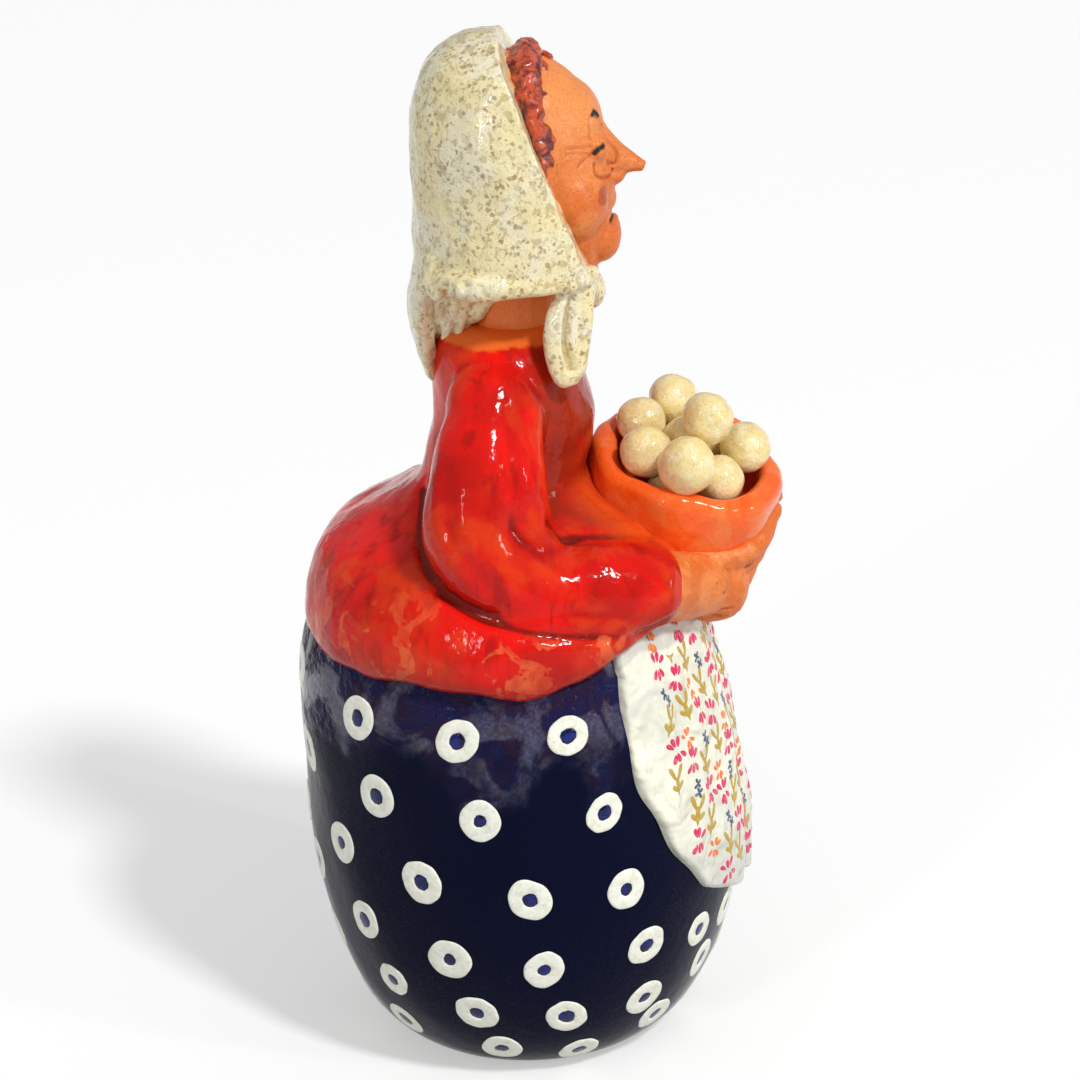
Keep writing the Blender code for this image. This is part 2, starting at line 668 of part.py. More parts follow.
def make_apron(glaze, home):
    """A patch laid on the skirt, thickened into a slab, with ripples towards its lower end."""
    rows, columns = 9, 14
    sink = 0.57 * APRON_THICKNESS
    tuck = 2.5 * HEM_THICKNESS
    form = bmesh.new()
    grid = []
    for i in range(rows + 1):
        share = max(0.16, math.sin(math.pi / 2 * i / rows))
        height = HEM_HEIGHT - APRON_LENGTH * math.cos(math.asin(share))
        grid.append((height, apron_half_angle_at(height)))
    grid.append((HEM_HEIGHT + tuck, APRON_HALF_ANGLE))
    skins = []
    for height, half_angle in grid:
        row = []
        drop = (HEM_HEIGHT - height) / APRON_LENGTH
        for j in range(columns + 1):
            turn = half_angle * (2 * j / columns - 1)
            ripple = APRON_RIPPLE * max(0.0, drop) * math.cos(9 * turn + 0.5)
            radius = skirt_radius_at(height) - sink + ripple
            row.append(form.verts.new(at(radius * math.sin(turn), radius * math.cos(turn), height)))
        skins.append(row)
    for low, high in zip(skins, skins[1:]):
        for j in range(columns):
            form.faces.new((low[j], low[j + 1], high[j + 1], high[j]))
    mesh = bpy.data.meshes.new("apron")
    form.to_mesh(mesh)
    form.free()
    apron = object_from("apron", mesh, glaze, home)
    slab = apron.modifiers.new("Slab", "SOLIDIFY")
    slab.thickness = APRON_THICKNESS + sink
    slab.offset = 1
    round_edge = apron.modifiers.new("Round edge", "BEVEL")
    round_edge.width = 0.35 * APRON_THICKNESS
    round_edge.segments = 1
    round_edge.limit_method = "ANGLE"
    round_edge.angle_limit = math.radians(50)
    return apron


def join_forms(figure, steps):
    """Luting and firing: each form in turn is joined to the skirt's body, or cut out of it."""
    for operation, form in steps:
        helper(form)
        step = figure.modifiers.new(operation.capitalize() + " " + form.name, "BOOLEAN")
        step.operation = operation
        step.solver = "EXACT"
        step.object = form
        if operation == "UNION":
            step.material_mode = "TRANSFER"


def settled_eggs():
    """Centres and radii of the eggs, in the bowl's frame, once they no longer press on each other."""
    # Each egg: its first place, in egg radii to her left, back and up from the rim, and its size.
    first_places = [
        ((0.8, 2.0, 1.4), 0.98),
        ((2.1, 0.2, 1.9), 1.00),
        ((-0.5, 0.0, 2.9), 1.02),
        ((-1.2, 1.5, 0.9), 1.00),
        ((-2.0, -0.5, 1.8), 1.13),
        ((-0.1, -1.9, 1.7), 1.00),
        ((-1.5, -1.8, 0.4), 0.98),
        ((0.5, 0.9, 0.8), 1.00),
        ((1.6, -1.2, 0.2), 1.00),
        ((-0.1, -0.4, -0.4), 0.98),
        ((1.7, 1.1, -0.6), 0.98),
        ((-1.8, 0.4, -0.8), 0.98),
    ]
    centres = [EGG_RADIUS * Vector(place) for place, size in first_places]
    radii = [EGG_RADIUS * size for place, size in first_places]
    wall = bowl_inside()
    for step in range(1200):
        for i, one in enumerate(centres):
            if step < 700:
                one.z -= EGG_RADIUS / 280
            for j in range(i):
                apart = one - centres[j]
                short = radii[i] + radii[j] + EGG_GAP - apart.length
                if short > 0:
                    push = apart.normalized() * short / 2
                    one += push
                    centres[j] -= push
            keep_in_bowl(one, radii[i], wall)
    return centres, radii


def keep_in_bowl(centre, radius, wall):
    """Pushes a ball off the bowl's inner wall and floor."""
    out = Vector((centre.x, centre.y, 0)).normalized()
    for low, high in zip(wall, wall[1:]):
        for share in (0.0, 0.33, 0.67):
            side = low[0] + (high[0] - low[0]) * share
            height = low[1] + (high[1] - low[1]) * share
            apart = centre - (out * side + Vector((0, 0, height)))
            short = radius + 1.3 * EGG_GAP - apart.length
            if short > 0:
                centre += apart.normalized() * short
    centre.z = max(centre.z, radius + EGG_GAP - BOWL_HOLLOW)


def make_eggs(glaze, home):
    centres, radii = settled_eggs()
    frame = bowl_frame()
    for number, (centre, radius) in enumerate(zip(centres, radii), 1):
        shape = (radius / EGG_STRETCH, radius / EGG_STRETCH, radius)
        egg = ball(f"egg_{number}", Vector(), shape, glaze, home, 12, 7)
        turn = Matrix.Rotation(1.3 * number, 4, "Z") @ Matrix.Rotation(0.9 * number, 4, "X")
        egg.matrix_world = Matrix.Translation(frame @ centre) @ turn
        egg.data.shade_smooth()


def drop_bubbles(figure):
    """Closes the pockets of air shut between two lumps of clay: only the outer skin is kept."""
    bpy.context.view_layer.update()
    graph = bpy.context.evaluated_depsgraph_get()
    fired = bpy.data.meshes.new_from_object(figure.evaluated_get(graph))
    form = bmesh.new()
    form.from_mesh(fired)
    bmesh.ops.remove_doubles(form, verts=form.verts, dist=0.000001)
    unseen = set(form.faces)
    skins = []
    while unseen:
        skin = [unseen.pop()]
        for face in skin:
            for edge in face.edges:
                for other in edge.link_faces:
                    if other in unseen:
                        unseen.remove(other)
                        skin.append(other)
        skins.append(skin)
    skins.sort(key=len)
    for skin in skins[:-1]:
        bmesh.ops.delete(form, geom=skin, context="FACES")
    form.to_mesh(fired)
    form.free()
    figure.modifiers.clear()
    figure.data = fired


def main():
    for obj in list(bpy.data.objects):
        bpy.data.objects.remove(obj)
    pieces = collection("Grandmother figurine")
    forms = collection("Clay forms and cutters")
    blue = material("blue_glaze", BLUE_GLAZE, 0.12)
    red = material("red_glaze", RED_GLAZE, 0.10)
    white = material("white_slip", WHITE_SLIP, 0.45)
    cream = material("cream_glaze", CREAM_GLAZE, 0.18)
    clay = material("bare_clay", BARE_CLAY, 0.55)
    orange = material("orange_glaze", ORANGE_GLAZE, 0.22)
    brown = material("hair_glaze", HAIR_GLAZE, 0.12)
    shell = material("egg_glaze", EGG_GLAZE, 0.25)
    figure = make_skirt(blue, pieces)
    figure.name = "figure"
    luted = [
        make_bowl(orange, forms),
        *make_hands(clay, forms),
        make_head(clay, forms),
        make_hair(brown, forms),
        make_kerchief(cream, forms),
    ]
    steps = [("UNION", make_blouse(red, forms)), ("UNION", make_apron(white, forms))]
    steps.append(("DIFFERENCE", make_bowl_room(forms)))
    steps += [("UNION", form) for form in luted]
    steps += [("DIFFERENCE", cutter) for cutter in make_hollow(forms)]
    join_forms(figure, steps)
    drop_bubbles(figure)
    make_eggs(shell, pieces)


main()
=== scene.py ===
"""Looks of the grandmother figurine: a hand-built figure of glazed clay with a bowl of eggs.

Metres, +Z up. She faces -Y, and her right side, at -X, is turned to the camera.
"""

import math
import random

import bmesh
import bpy
import numpy as np
from mathutils import Matrix, Vector, noise
from mathutils.bvhtree import BVHTree


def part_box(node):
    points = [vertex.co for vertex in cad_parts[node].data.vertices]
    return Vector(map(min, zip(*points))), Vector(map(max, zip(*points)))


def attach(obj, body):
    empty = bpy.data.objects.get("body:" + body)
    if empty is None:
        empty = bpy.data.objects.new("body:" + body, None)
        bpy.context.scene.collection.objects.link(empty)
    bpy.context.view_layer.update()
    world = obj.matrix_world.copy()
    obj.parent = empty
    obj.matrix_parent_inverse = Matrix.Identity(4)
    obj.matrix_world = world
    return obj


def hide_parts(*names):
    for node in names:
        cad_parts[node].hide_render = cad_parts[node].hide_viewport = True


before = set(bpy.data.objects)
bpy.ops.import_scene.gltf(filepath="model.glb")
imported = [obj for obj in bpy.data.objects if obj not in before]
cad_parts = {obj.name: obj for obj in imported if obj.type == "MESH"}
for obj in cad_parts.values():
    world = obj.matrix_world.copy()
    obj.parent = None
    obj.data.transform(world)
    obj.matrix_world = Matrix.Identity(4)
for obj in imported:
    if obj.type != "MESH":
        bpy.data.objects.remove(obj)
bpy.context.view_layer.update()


# Skirt. A bell of red clay, turned on a wheel and patted by hand, and left hollow with a steam vent
# in its foot. It is dipped in navy glaze, which dries rough and purple-brown up under the hem.
FOOT_RADIUS = 0.0270
SKIRT_RADIUS = 0.0510
BELLY_HEIGHT = 0.058
SKIRT_HEIGHT = 0.130
SKIRT_FULLNESS = 3.1
CLAY_WALL = 0.0065
VENT_RADIUS = 0.0032
VENT_BACKSET = 0.013
FRONT_SLIMNESS = 0.0058
FRONT_LEAN_START = 0.046
FRONT_LEAN_SPAN = 0.052
BACK_SWELL = 0.0024
BACK_LEAN_START = 0.070
BACK_LEAN_SPAN = 0.030
PAT_DEPTH = 0.001
STEADY_FOOT = 0.025
SKIRT_COLUMNS = 256
SKIRT_ROWS = 120
DRY_START = 0.100
DRY_END = 0.124
DRY_EDGE_WAVER = 0.05
NAVY_GLAZE = (0.0008, 0.0020, 0.018, 1)
THIN_NAVY = (0.014, 0.013, 0.062, 1)
BROWN_SCUM = (0.026, 0.012, 0.036, 1)
# Painted sheen: pale blue flecks that stand in for highlights on the rough glaze under the hem.
PAINTED_BLUE_SHEEN = (0.13, 0.15, 0.36, 1)


def at(side, forward, height):
    """A point named by how far it lies to her left, in front of her axis and above her foot."""
    return Vector((side, -forward, height))


def skirt_outline():
    """(radius, height) from the foot's edge to the top: a quarter ellipse, then a fuller one."""
    turn = np.linspace(0, math.pi / 2, 300)
    swell = FOOT_RADIUS + (SKIRT_RADIUS - FOOT_RADIUS) * np.sin(turn)
    low = np.stack([swell, BELLY_HEIGHT * (1 - np.cos(turn))], axis=1)
    turn = np.linspace(0, math.pi / 2, 500)[1:]
    power = 2 / SKIRT_FULLNESS
    rise = (SKIRT_HEIGHT - BELLY_HEIGHT) * np.sin(turn) ** power
    high = np.stack([SKIRT_RADIUS * np.cos(turn) ** power, BELLY_HEIGHT + rise], axis=1)
    return np.concatenate([low, high])


SKIRT_OUTLINE = skirt_outline()
skirt_steps = np.linalg.norm(np.diff(SKIRT_OUTLINE, axis=0), axis=1)
SKIRT_RUNS = np.concatenate([[0.0], np.cumsum(skirt_steps)])
skirt_slopes = np.gradient(SKIRT_OUTLINE, SKIRT_RUNS, axis=0)


def skirt_run_at(height):
    """How far up the skirt's surface from its foot this height lies."""
    return np.interp(height, SKIRT_OUTLINE[:, 1], SKIRT_RUNS)


def belly_lean(turn, height):
    """How far the clay stands out at the back and in at the front, where the bell leans back."""
    ahead = np.cos(turn)
    low_front = np.clip((height - FRONT_LEAN_START) / FRONT_LEAN_SPAN, 0, 1)
    low_back = np.clip((height - BACK_LEAN_START) / BACK_LEAN_SPAN, 0, 1)
    front = FRONT_SLIMNESS * low_front * np.clip(ahead, 0, 1) ** 1.5
    back = BACK_SWELL * low_back * np.clip(-ahead, 0, 1) ** 1.5
    return back - front


def skirt_pats(turn, run):
    """Hollows and swellings left by patting the bell, fading to nothing at the flat foot."""
    steady = np.clip(run / STEADY_FOOT, 0, 1) ** 2
    broad = 0.30 * np.sin(3 * turn + 0.8 + 30 * run) + 0.22 * np.sin(5 * turn + 2.1 - 55 * run)
    small = 0.10 * np.sin(9 * turn - 1 + 90 * run) + 0.08 * np.sin(13 * turn + 120 * run + 0.7)
    flute = 0.12 * np.sin(21 * turn + 2 * np.sin(60 * run)) * np.clip((run - 0.09) / 0.03, 0, 1)
    return PAT_DEPTH * steady * (broad + small + flute)


def on_skirt(turn, run, lift=0.0):
    """Points of the skirt, by the turn from her front to her left and the run up from the foot."""
    turn, run = np.broadcast_arrays(np.asarray(turn, float), np.asarray(run, float))
    radius = np.interp(run, SKIRT_RUNS, SKIRT_OUTLINE[:, 0])
    height = np.interp(run, SKIRT_RUNS, SKIRT_OUTLINE[:, 1])
    swell = lift + skirt_pats(turn, run) + belly_lean(turn, height)
    radius = radius + swell * np.interp(run, SKIRT_RUNS, skirt_slopes[:, 1])
    height = height - swell * np.interp(run, SKIRT_RUNS, skirt_slopes[:, 0])
    return np.stack([radius * np.sin(turn), -radius * np.cos(turn), height], axis=-1)


def full_turn(count):
    """This many equal steps round a circle, in radians."""
    return np.linspace(0, 2 * math.pi, count, endpoint=False)


def object_from(name, mesh, finish=None):
    """Puts a mesh or curve in the scene, with its finish if it has one already."""
    made = bpy.data.objects.new(name, mesh)
    bpy.context.scene.collection.objects.link(made)
    if finish:
        mesh.materials.append(finish)
    return made


def skinned(name, rows, finish=None, wrap=True, cap=True):
    """A smooth mesh through rows of points, from the lowest up, each anticlockwise from above."""
    count, columns = rows.shape[:2]
    index = np.arange(count * columns).reshape(count, columns)
    after = np.roll(index, -1, axis=1) if wrap else index[:, 1:]
    start = index if wrap else index[:, :-1]
    faces = np.stack([start[:-1], after[:-1], after[1:], start[1:]], axis=-1).reshape(-1, 4).tolist()
    if wrap and cap:
        faces.append(index[0][::-1].tolist())
        faces.append(index[-1].tolist())
    mesh = bpy.data.meshes.new(name)
    mesh.from_pydata(rows.reshape(-1, 3).tolist(), [], faces)
    mesh.shade_smooth()
    return object_from(name, mesh, finish)


def turned(name, outline, columns):
    """Turns an outline of (radius, height) about Z. It starts at the bottom."""
    turn = full_turn(columns)
    outline = np.asarray(outline, float)
    radius, height = outline[:, :1], outline[:, 1:]
    across = np.stack([radius * np.sin(turn), -radius * np.cos(turn), height + 0 * turn], axis=-1)
    return skinned(name, across)


def cut_out(made, cutters):
    """Cuts each of these forms out of the piece for good."""
    for cutter in cutters:
        step = made.modifiers.new("Cut", "BOOLEAN")
        step.operation = "DIFFERENCE"
        step.solver = "EXACT"
        step.object = cutter
    settle(made)
    for cutter in cutters:
        bpy.data.objects.remove(cutter)


def settle(made):
    """Makes what the piece's modifiers do a part of its own mesh."""
    bpy.context.view_layer.update()
    graph = bpy.context.evaluated_depsgraph_get()
    mesh = bpy.data.meshes.new_from_object(made.evaluated_get(graph))
    made.modifiers.clear()
    made.data = mesh
    mesh.shade_smooth()


def wired(tree, kind, inputs=None, **settings):
    """Adds a shader node. Each of its inputs is given as a value or as the socket that feeds it."""
    made = tree.nodes.new(kind)
    for name, value in settings.items():
        setattr(made, name, value)
    for name, value in (inputs or {}).items():
        if isinstance(value, bpy.types.NodeSocket):
            tree.links.new(value, made.inputs[name])
        else:
            made.inputs[name].default_value = value
    return made


def blended(tree, factor, first, second):
    """One colour laid over another by a mask."""
    return wired(tree, "ShaderNodeMix", {0: factor, 6: first, 7: second}, data_type="RGBA").outputs[2]


def eased(tree, value, low, high, start=0.0, end=1.0):
    """A mask that goes smoothly from start to end while the value goes from low to high."""
    inputs = {0: value, 1: low, 2: high, 3: start, 4: end}
    return wired(tree, "ShaderNodeMapRange", inputs, interpolation_type="SMOOTHSTEP").outputs[0]


def combined(tree, operation, first, second):
    """Two masks or numbers worked into one."""
    return wired(tree, "ShaderNodeMath", {0: first, 1: second}, operation=operation).outputs[0]


def times(tree, first, second):
    """A mask weakened by another one, or by a plain share."""
    return combined(tree, "MULTIPLY", first, second)


def place_in(tree):
    """Where each spot of the piece lies."""
    return wired(tree, "ShaderNodeTexCoord").outputs["Object"]


def height_in(tree):
    """How high above the foot each spot of the piece lies."""
    return wired(tree, "ShaderNodeSeparateXYZ", {0: place_in(tree)}).outputs[2]


def effect(name, sizes, outputs):
    """Starts a node group with named values going in and masks or heights coming out."""
    tree = bpy.data.node_groups.new(name, "ShaderNodeTree")
    for label, value in sizes.items():
        socket = tree.interface.new_socket(label, in_out="INPUT", socket_type="NodeSocketFloat")
        socket.default_value = value
    for label in outputs:
        tree.interface.new_socket(label, in_out="OUTPUT", socket_type="NodeSocketFloat")
    return tree, tree.nodes.new("NodeGroupInput").outputs, tree.nodes.new("NodeGroupOutput").inputs


def clouds(tree, size, detail=3.0, roughness=0.55, distortion=0.0):
    """Soft noise over the piece, with patches about this many metres across."""
    inputs = {"Vector": place_in(tree), "Scale": combined(tree, "DIVIDE", 1.0, size)}
    inputs |= {"Detail": detail, "Roughness": roughness, "Distortion": distortion}
    return wired(tree, "ShaderNodeTexNoise", inputs).outputs[0]


mottling, given, giving = effect("mottling", {"Size": 0.01, "Edge": 0.1, "Cover": 0.5}, ["Mask"])
bareness = combined(mottling, "SUBTRACT", 1.0, given["Cover"])
patch = clouds(mottling, given["Size"], detail=4.0, distortion=0.6)
lowest = combined(mottling, "SUBTRACT", bareness, given["Edge"])
highest = combined(mottling, "ADD", bareness, given["Edge"])
mask = eased(mottling, eased(mottling, patch, 0.25, 0.75), lowest, highest)
mottling.links.new(mask, giving["Mask"])

hand_marks, given, giving = effect("hand_marks", {"Size": 0.006, "Pits": 0.3}, ["Height"])
dents = clouds(hand_marks, given["Size"], detail=2.0, distortion=0.3)
pits = clouds(hand_marks, times(hand_marks, given["Size"], 0.09), detail=1.0)
pits = times(hand_marks, eased(hand_marks, pits, 0.62, 0.72), given["Pits"])
hand_marks.links.new(combined(hand_marks, "SUBTRACT", dents, pits), giving["Height"])


def placed(tree, group, **sizes):
    """Puts an effect in a material with its own values, and gives back what comes out of it."""
    return wired(tree, "ShaderNodeGroup", sizes, node_tree=group).outputs[0]


def patches(tree, size, edge, cover, strength=1):
    """Mottled patches: metres across, how soft their edges are, and how much they cover."""
    mask = placed(tree, mottling, Size=size, Edge=edge, Cover=cover)
    return mask if strength == 1 else times(tree, mask, strength)


def finish_named(name, roughness, shine=0.5, coat=0.0):
    """A clay finish. Gives back the material, its nodes and its Principled shader."""
    made = bpy.data.materials.new(name)
    made.use_nodes = True
    surface = made.node_tree.nodes["Principled BSDF"]
    surface.inputs["Roughness"].default_value = roughness
    surface.inputs["Specular IOR Level"].default_value = shine
    surface.inputs["Coat Weight"].default_value = coat
    surface.inputs["Coat Roughness"].default_value = 0.04
    return made, made.node_tree, surface


def coloured(tree, surface, colour):
    """Gives the surface a colour that changes over it."""
    tree.links.new(colour, surface.inputs["Base Color"])


def raise_surface(tree, surface, height, depth):
    """Lets a height from 0 to 1 show as relief of this many metres."""
    bump = wired(tree, "ShaderNodeBump", {"Strength": 1.0, "Distance": depth, "Height": height})
    tree.links.new(bump.outputs[0], surface.inputs["Normal"])


def hand_pressed(tree, surface, size, pits, depth):
    """Shows dents this many metres across, with pits in them, as hands leave in soft clay."""
    raise_surface(tree, surface, placed(tree, hand_marks, Size=size, Pits=pits), depth)


def stands_for(made, slot, *nodes):
    """The piece rides on the one body and stands for these nodes, which are hidden. Its slot is not used.
    """
    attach(made, "root")
    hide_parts(*nodes)


navy, tree, surface = finish_named("navy_glaze", roughness=0.10, shine=0.05)
surface.inputs["Coat Roughness"].default_value = 0.20
edge = combined(tree, "ADD", height_in(tree), times(tree, clouds(tree, 0.016), DRY_EDGE_WAVER))
dry = eased(tree, edge, DRY_START, DRY_END)
scum = blended(tree, patches(tree, 0.007, 0.25, 0.5), THIN_NAVY, BROWN_SCUM)
streaks = times(tree, dry, patches(tree, 0.011, 0.2, 0.36))
fine = times(tree, streaks, patches(tree, 0.0011, 0.25, 0.42))
glaze = blended(tree, dry, NAVY_GLAZE, scum)
# The rough streaks carry pale blue flecks of painted sheen.
coloured(tree, surface, blended(tree, times(tree, fine, 0.30), glaze, PAINTED_BLUE_SHEEN))
tree.links.new(eased(tree, streaks, 0, 0.8), surface.inputs["Coat Weight"])
rough = eased(tree, dry, 0, 1, 0.3, 3.0)
raise_surface(tree, surface, times(tree, placed(tree, hand_marks, Size=0.0035, Pits=0.5), rough), 0.00045)

around = full_turn(SKIRT_COLUMNS)
foot_rows = [on_skirt(around, 0.0) * (share, share, 0) for share in (0.03, 0.5, 0.9)]
skirt_top = SKIRT_RUNS[-1] - 0.001
wall_rows = [on_skirt(around, run) for run in np.linspace(0, skirt_top, SKIRT_ROWS)]
skirt = skinned("skirt", np.array(foot_rows + wall_rows), navy)
hollow_rise = (1 - np.cos(np.linspace(0, math.pi, 14))) / 2
hollow_heights = CLAY_WALL + (SKIRT_HEIGHT - 2 * CLAY_WALL) * hollow_rise
hollow_radii = np.interp(hollow_heights, SKIRT_OUTLINE[:, 1], SKIRT_OUTLINE[:, 0]) - CLAY_WALL
hollow_radii[0] -= CLAY_WALL
hollow_outline = np.stack([np.maximum(hollow_radii, CLAY_WALL), hollow_heights], axis=1)
hollow = turned("hollow", hollow_outline, 48)
vent = turned("vent", [(VENT_RADIUS, -CLAY_WALL), (VENT_RADIUS, 2 * CLAY_WALL)], 24)
vent.data.transform(Matrix.Translation(at(0, -VENT_BACKSET, 0)))
cut_out(skirt, [hollow, vent])
stands_for(skirt, "blue_glaze", "figure")


# Rings. Daubs of white slip with a dot of cobalt in the middle, put on the skirt with a brush in
# staggered rows, so that no two are alike. They stand a little proud of the navy glaze.
RING_RADIUS = 0.0050
RING_HOLE = 0.0017
RING_STEPS = 48
SLIP_DEPTH = 0.00028
RING_WHITE = (0.95, 0.95, 0.82, 1)
RING_SHADE = (0.84, 0.83, 0.68, 1)
COBALT = (0.003, 0.012, 0.17, 1)
# How the slip lies: shares of the way in from the edge, and of its depth.
RING_PROFILE = [(0, -0.2), (0.04, 0.55), (0.16, 1), (0.5, 0.8), (0.85, 1), (0.96, 0.6), (1, -0.2)]
DOT_PROFILE = [(0.94, -0.1), (0.85, 0.25), (0.45, 0.42), (0.1, 0.45)]
# Each ring: degrees from her front, and millimetres above the foot.
RING_PLACES = [
    (168, 94.9), (135, 92.6), (105, 92.2), (76, 92.9), (161, 76.7), (129, 75.1), (99.5, 73.7),
    (67.4, 73.1), (144, 58.8), (173, 58.0), (116, 56.5), (87.7, 53.8), (62.2, 52.9), (164, 46.5),
    (137, 41.0), (110, 36.9), (84.7, 34.6), (55.7, 36.2), (34.8, 33.0), (17, 32.0), (161, 28.7),
    (130.5, 26.3), (104.6, 21.4), (78.4, 19.9), (53.1, 19.7), (27.7, 21.6), (160, 10.5),
    (134, 12.2), (99.2, 9.2), (72.7, 6.8), (44.7, 11.3), (3, 18.5), (14, 7.5),
]


def skirt_patch(turn, run, across, up, lift):
    """A spot of the skirt, this many metres across and up from the place at turn and run."""
    run = run + up
    radius = np.interp(run, SKIRT_RUNS, SKIRT_OUTLINE[:, 0])
    return on_skirt(turn + across / radius, run, lift)


def brushed(chance, count, unevenness):
    """How far a brushed edge runs out, as it goes round, from 1."""
    turn = full_turn(count)
    edge = np.ones(count)
    for waves in (2, 3, 4, 6, 9):
        swing = unevenness / waves**0.6 * chance.uniform(-1, 1)
        edge += swing * np.cos(waves * turn + chance.uniform(0, 6.3))
    return turn, edge


def joined_patches(name, skins, finish, closed_middle):
    """One mesh of many small skins. Each is an array of rings of points, from the outside in."""
    points, faces = [], []
    for rows in skins:
        base = len(points)
        count = rows.shape[1]
        points += rows.reshape(-1, 3).tolist()
        for ring in range(rows.shape[0] - 1):
            for i in range(count):
                j = (i + 1) % count
                low, high = base + ring * count, base + (ring + 1) * count
                faces.append((low + i, low + j, high + j, high + i))
        if closed_middle:
            last = base + (rows.shape[0] - 1) * count
            faces.append([last + i for i in range(count)])
    mesh = bpy.data.meshes.new(name)
    mesh.from_pydata(points, [], faces)
    mesh.shade_smooth()
    return object_from(name, mesh, finish)


slip, tree, surface = finish_named("ring_slip", roughness=0.16)
coloured(tree, surface, blended(tree, patches(tree, 0.002, 0.3, 0.35), RING_WHITE, RING_SHADE))
hand_pressed(tree, surface, size=0.0014, pits=0.2, depth=0.00024)

cobalt, tree, surface = finish_named("cobalt_dot", roughness=0.12, shine=0.3)
coloured(tree, surface, blended(tree, patches(tree, 0.0015, 0.3, 0.5), COBALT, NAVY_GLAZE))

brush = random.Random(7)
ring_skins, dot_skins = [], []
for degrees, height_mm in RING_PLACES:
    # The few near the middle of the front or back have no twin on her left side.
    for side in (-1, 1) if 6 < degrees < 170 else (-1,):
        turn = side * math.radians(degrees)
        run = float(skirt_run_at(height_mm / 1000))
        if side > 0:
            turn += math.radians(brush.uniform(-3, 3))
            run += brush.uniform(-0.0015, 0.0015)
        stretch = brush.uniform(0.93, 1.03), brush.uniform(0.96, 1.10)
        tilt = brush.uniform(-0.15, 0.15)
        circle, edge = brushed(brush, RING_STEPS, 0.045)
        outer = RING_RADIUS * brush.uniform(0.95, 1.05) * edge
        inner = RING_HOLE * brush.uniform(0.85, 1.15) * brushed(brush, RING_STEPS, 0.09)[1]
        ring_reaches = [(outer + (inner - outer) * share, lift) for share, lift in RING_PROFILE]
        dot_reaches = [(inner * share, lift) for share, lift in DOT_PROFILE]
        for skins, reaches in ((ring_skins, ring_reaches), (dot_skins, dot_reaches)):
            rows = []
            for reach, lift in reaches:
                across = reach * np.cos(circle + tilt) * stretch[0]
                up = reach * np.sin(circle) * stretch[1]
                rows.append(skirt_patch(turn, run, across, up, lift * SLIP_DEPTH))
            skins.append(np.array(rows))
rings = joined_patches("slip_rings", ring_skins, slip, closed_middle=False)
dots = joined_patches("cobalt_dots", dot_skins, cobalt, closed_middle=True)
for piece, name in ((rings, "white_slip"), (dots, "blue_glaze")):
    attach(piece, "root")


# Apron. A thin slab of clay cut round at the bottom, pressed on the skirt and tucked under the hem.
# Its edge waves a little, it ripples towards the bottom, and it is dipped in ivory glaze.
HEM_HEIGHT = 0.1030
APRON_HALF_ANGLE = math.radians(60)
APRON_LENGTH = 0.0672
APRON_THICKNESS = 0.0021
APRON_SQUARENESS = 2.25
APRON_EDGE = 0.0016
APRON_TUCK = 0.014
APRON_SINK = 0.0009
FOLD_DEPTH = 0.00085
CRUMPLE_DEPTH = 0.00065
# How far from her axis an angle across the apron is taken as metres.
APRON_ARC = 0.050
APRON_EDGE_ARC = 0.048
# Heights over which the painted shade under the blouse's hem comes in, along a ragged line.
PAINTED_HEM_SHADE_FROM = 0.1115
PAINTED_HEM_SHADE_TO = 0.1130
IVORY = (0.95, 0.93, 0.75, 1)
GREY_IVORY = (0.56, 0.56, 0.52, 1)
THIN_IVORY = (0.72, 0.60, 0.42, 1)


def apron_run(height):
    """How far up the skirt the apron lies at this height, which stops short of the skirt's top."""
    return skirt_run_at(np.minimum(height, SKIRT_HEIGHT - 0.004))


def apron_width(drop):
    """The apron's half angle at this share of its length."""
    drop = np.clip(drop, 0, 1)
    return APRON_HALF_ANGLE * (1 - drop**APRON_SQUARENESS) ** (1 / APRON_SQUARENESS)


def apron_lift(turn, height):
    """How far the apron's face stands off the skirt, down to below it outside the apron's edge."""
    drop = np.maximum((HEM_HEIGHT - height) / APRON_LENGTH, 0)
    reach = np.abs(turn) / APRON_HALF_ANGLE
    lowest = (1 - np.clip(reach, 0, 1) ** APRON_SQUARENESS) ** (1 / APRON_SQUARENESS)
    from_side = np.maximum((apron_width(drop) - np.abs(turn)) * APRON_EDGE_ARC, 0)
    from_below = np.maximum((lowest - drop) * APRON_LENGTH, 0)
    inward = from_side * from_below / np.sqrt(from_side**2 + from_below**2 + 1e-12)
    full = np.sqrt(1 - (1 - np.clip(inward / APRON_EDGE, 0, 1)) ** 2)
    fold = np.cos(17 * turn + 1.3 * np.sin(5 * turn) + 0.6) + 0.5 * np.cos(31 * turn + 2)
    depth = FOLD_DEPTH * np.clip(drop, 0, 1) ** 1.5
    crumple = np.sin(150 * height + 4 * np.sin(6 * turn + 1))
    crumple = crumple * np.sin(11 * turn + 3 * np.sin(70 * height))
    crumple += 0.6 * np.sin(260 * height + 17 * turn + 2 * np.sin(9 * turn))
    crumple *= CRUMPLE_DEPTH - 0.00030 * np.clip(drop, 0, 1)
    return (APRON_THICKNESS + APRON_SINK) * full - APRON_SINK + fold * depth + crumple * full


def on_apron(turn, height, lift=0.0):
    """Points of the apron's face, or this far off it."""
    return on_skirt(turn, apron_run(height), apron_lift(turn, height) + lift)


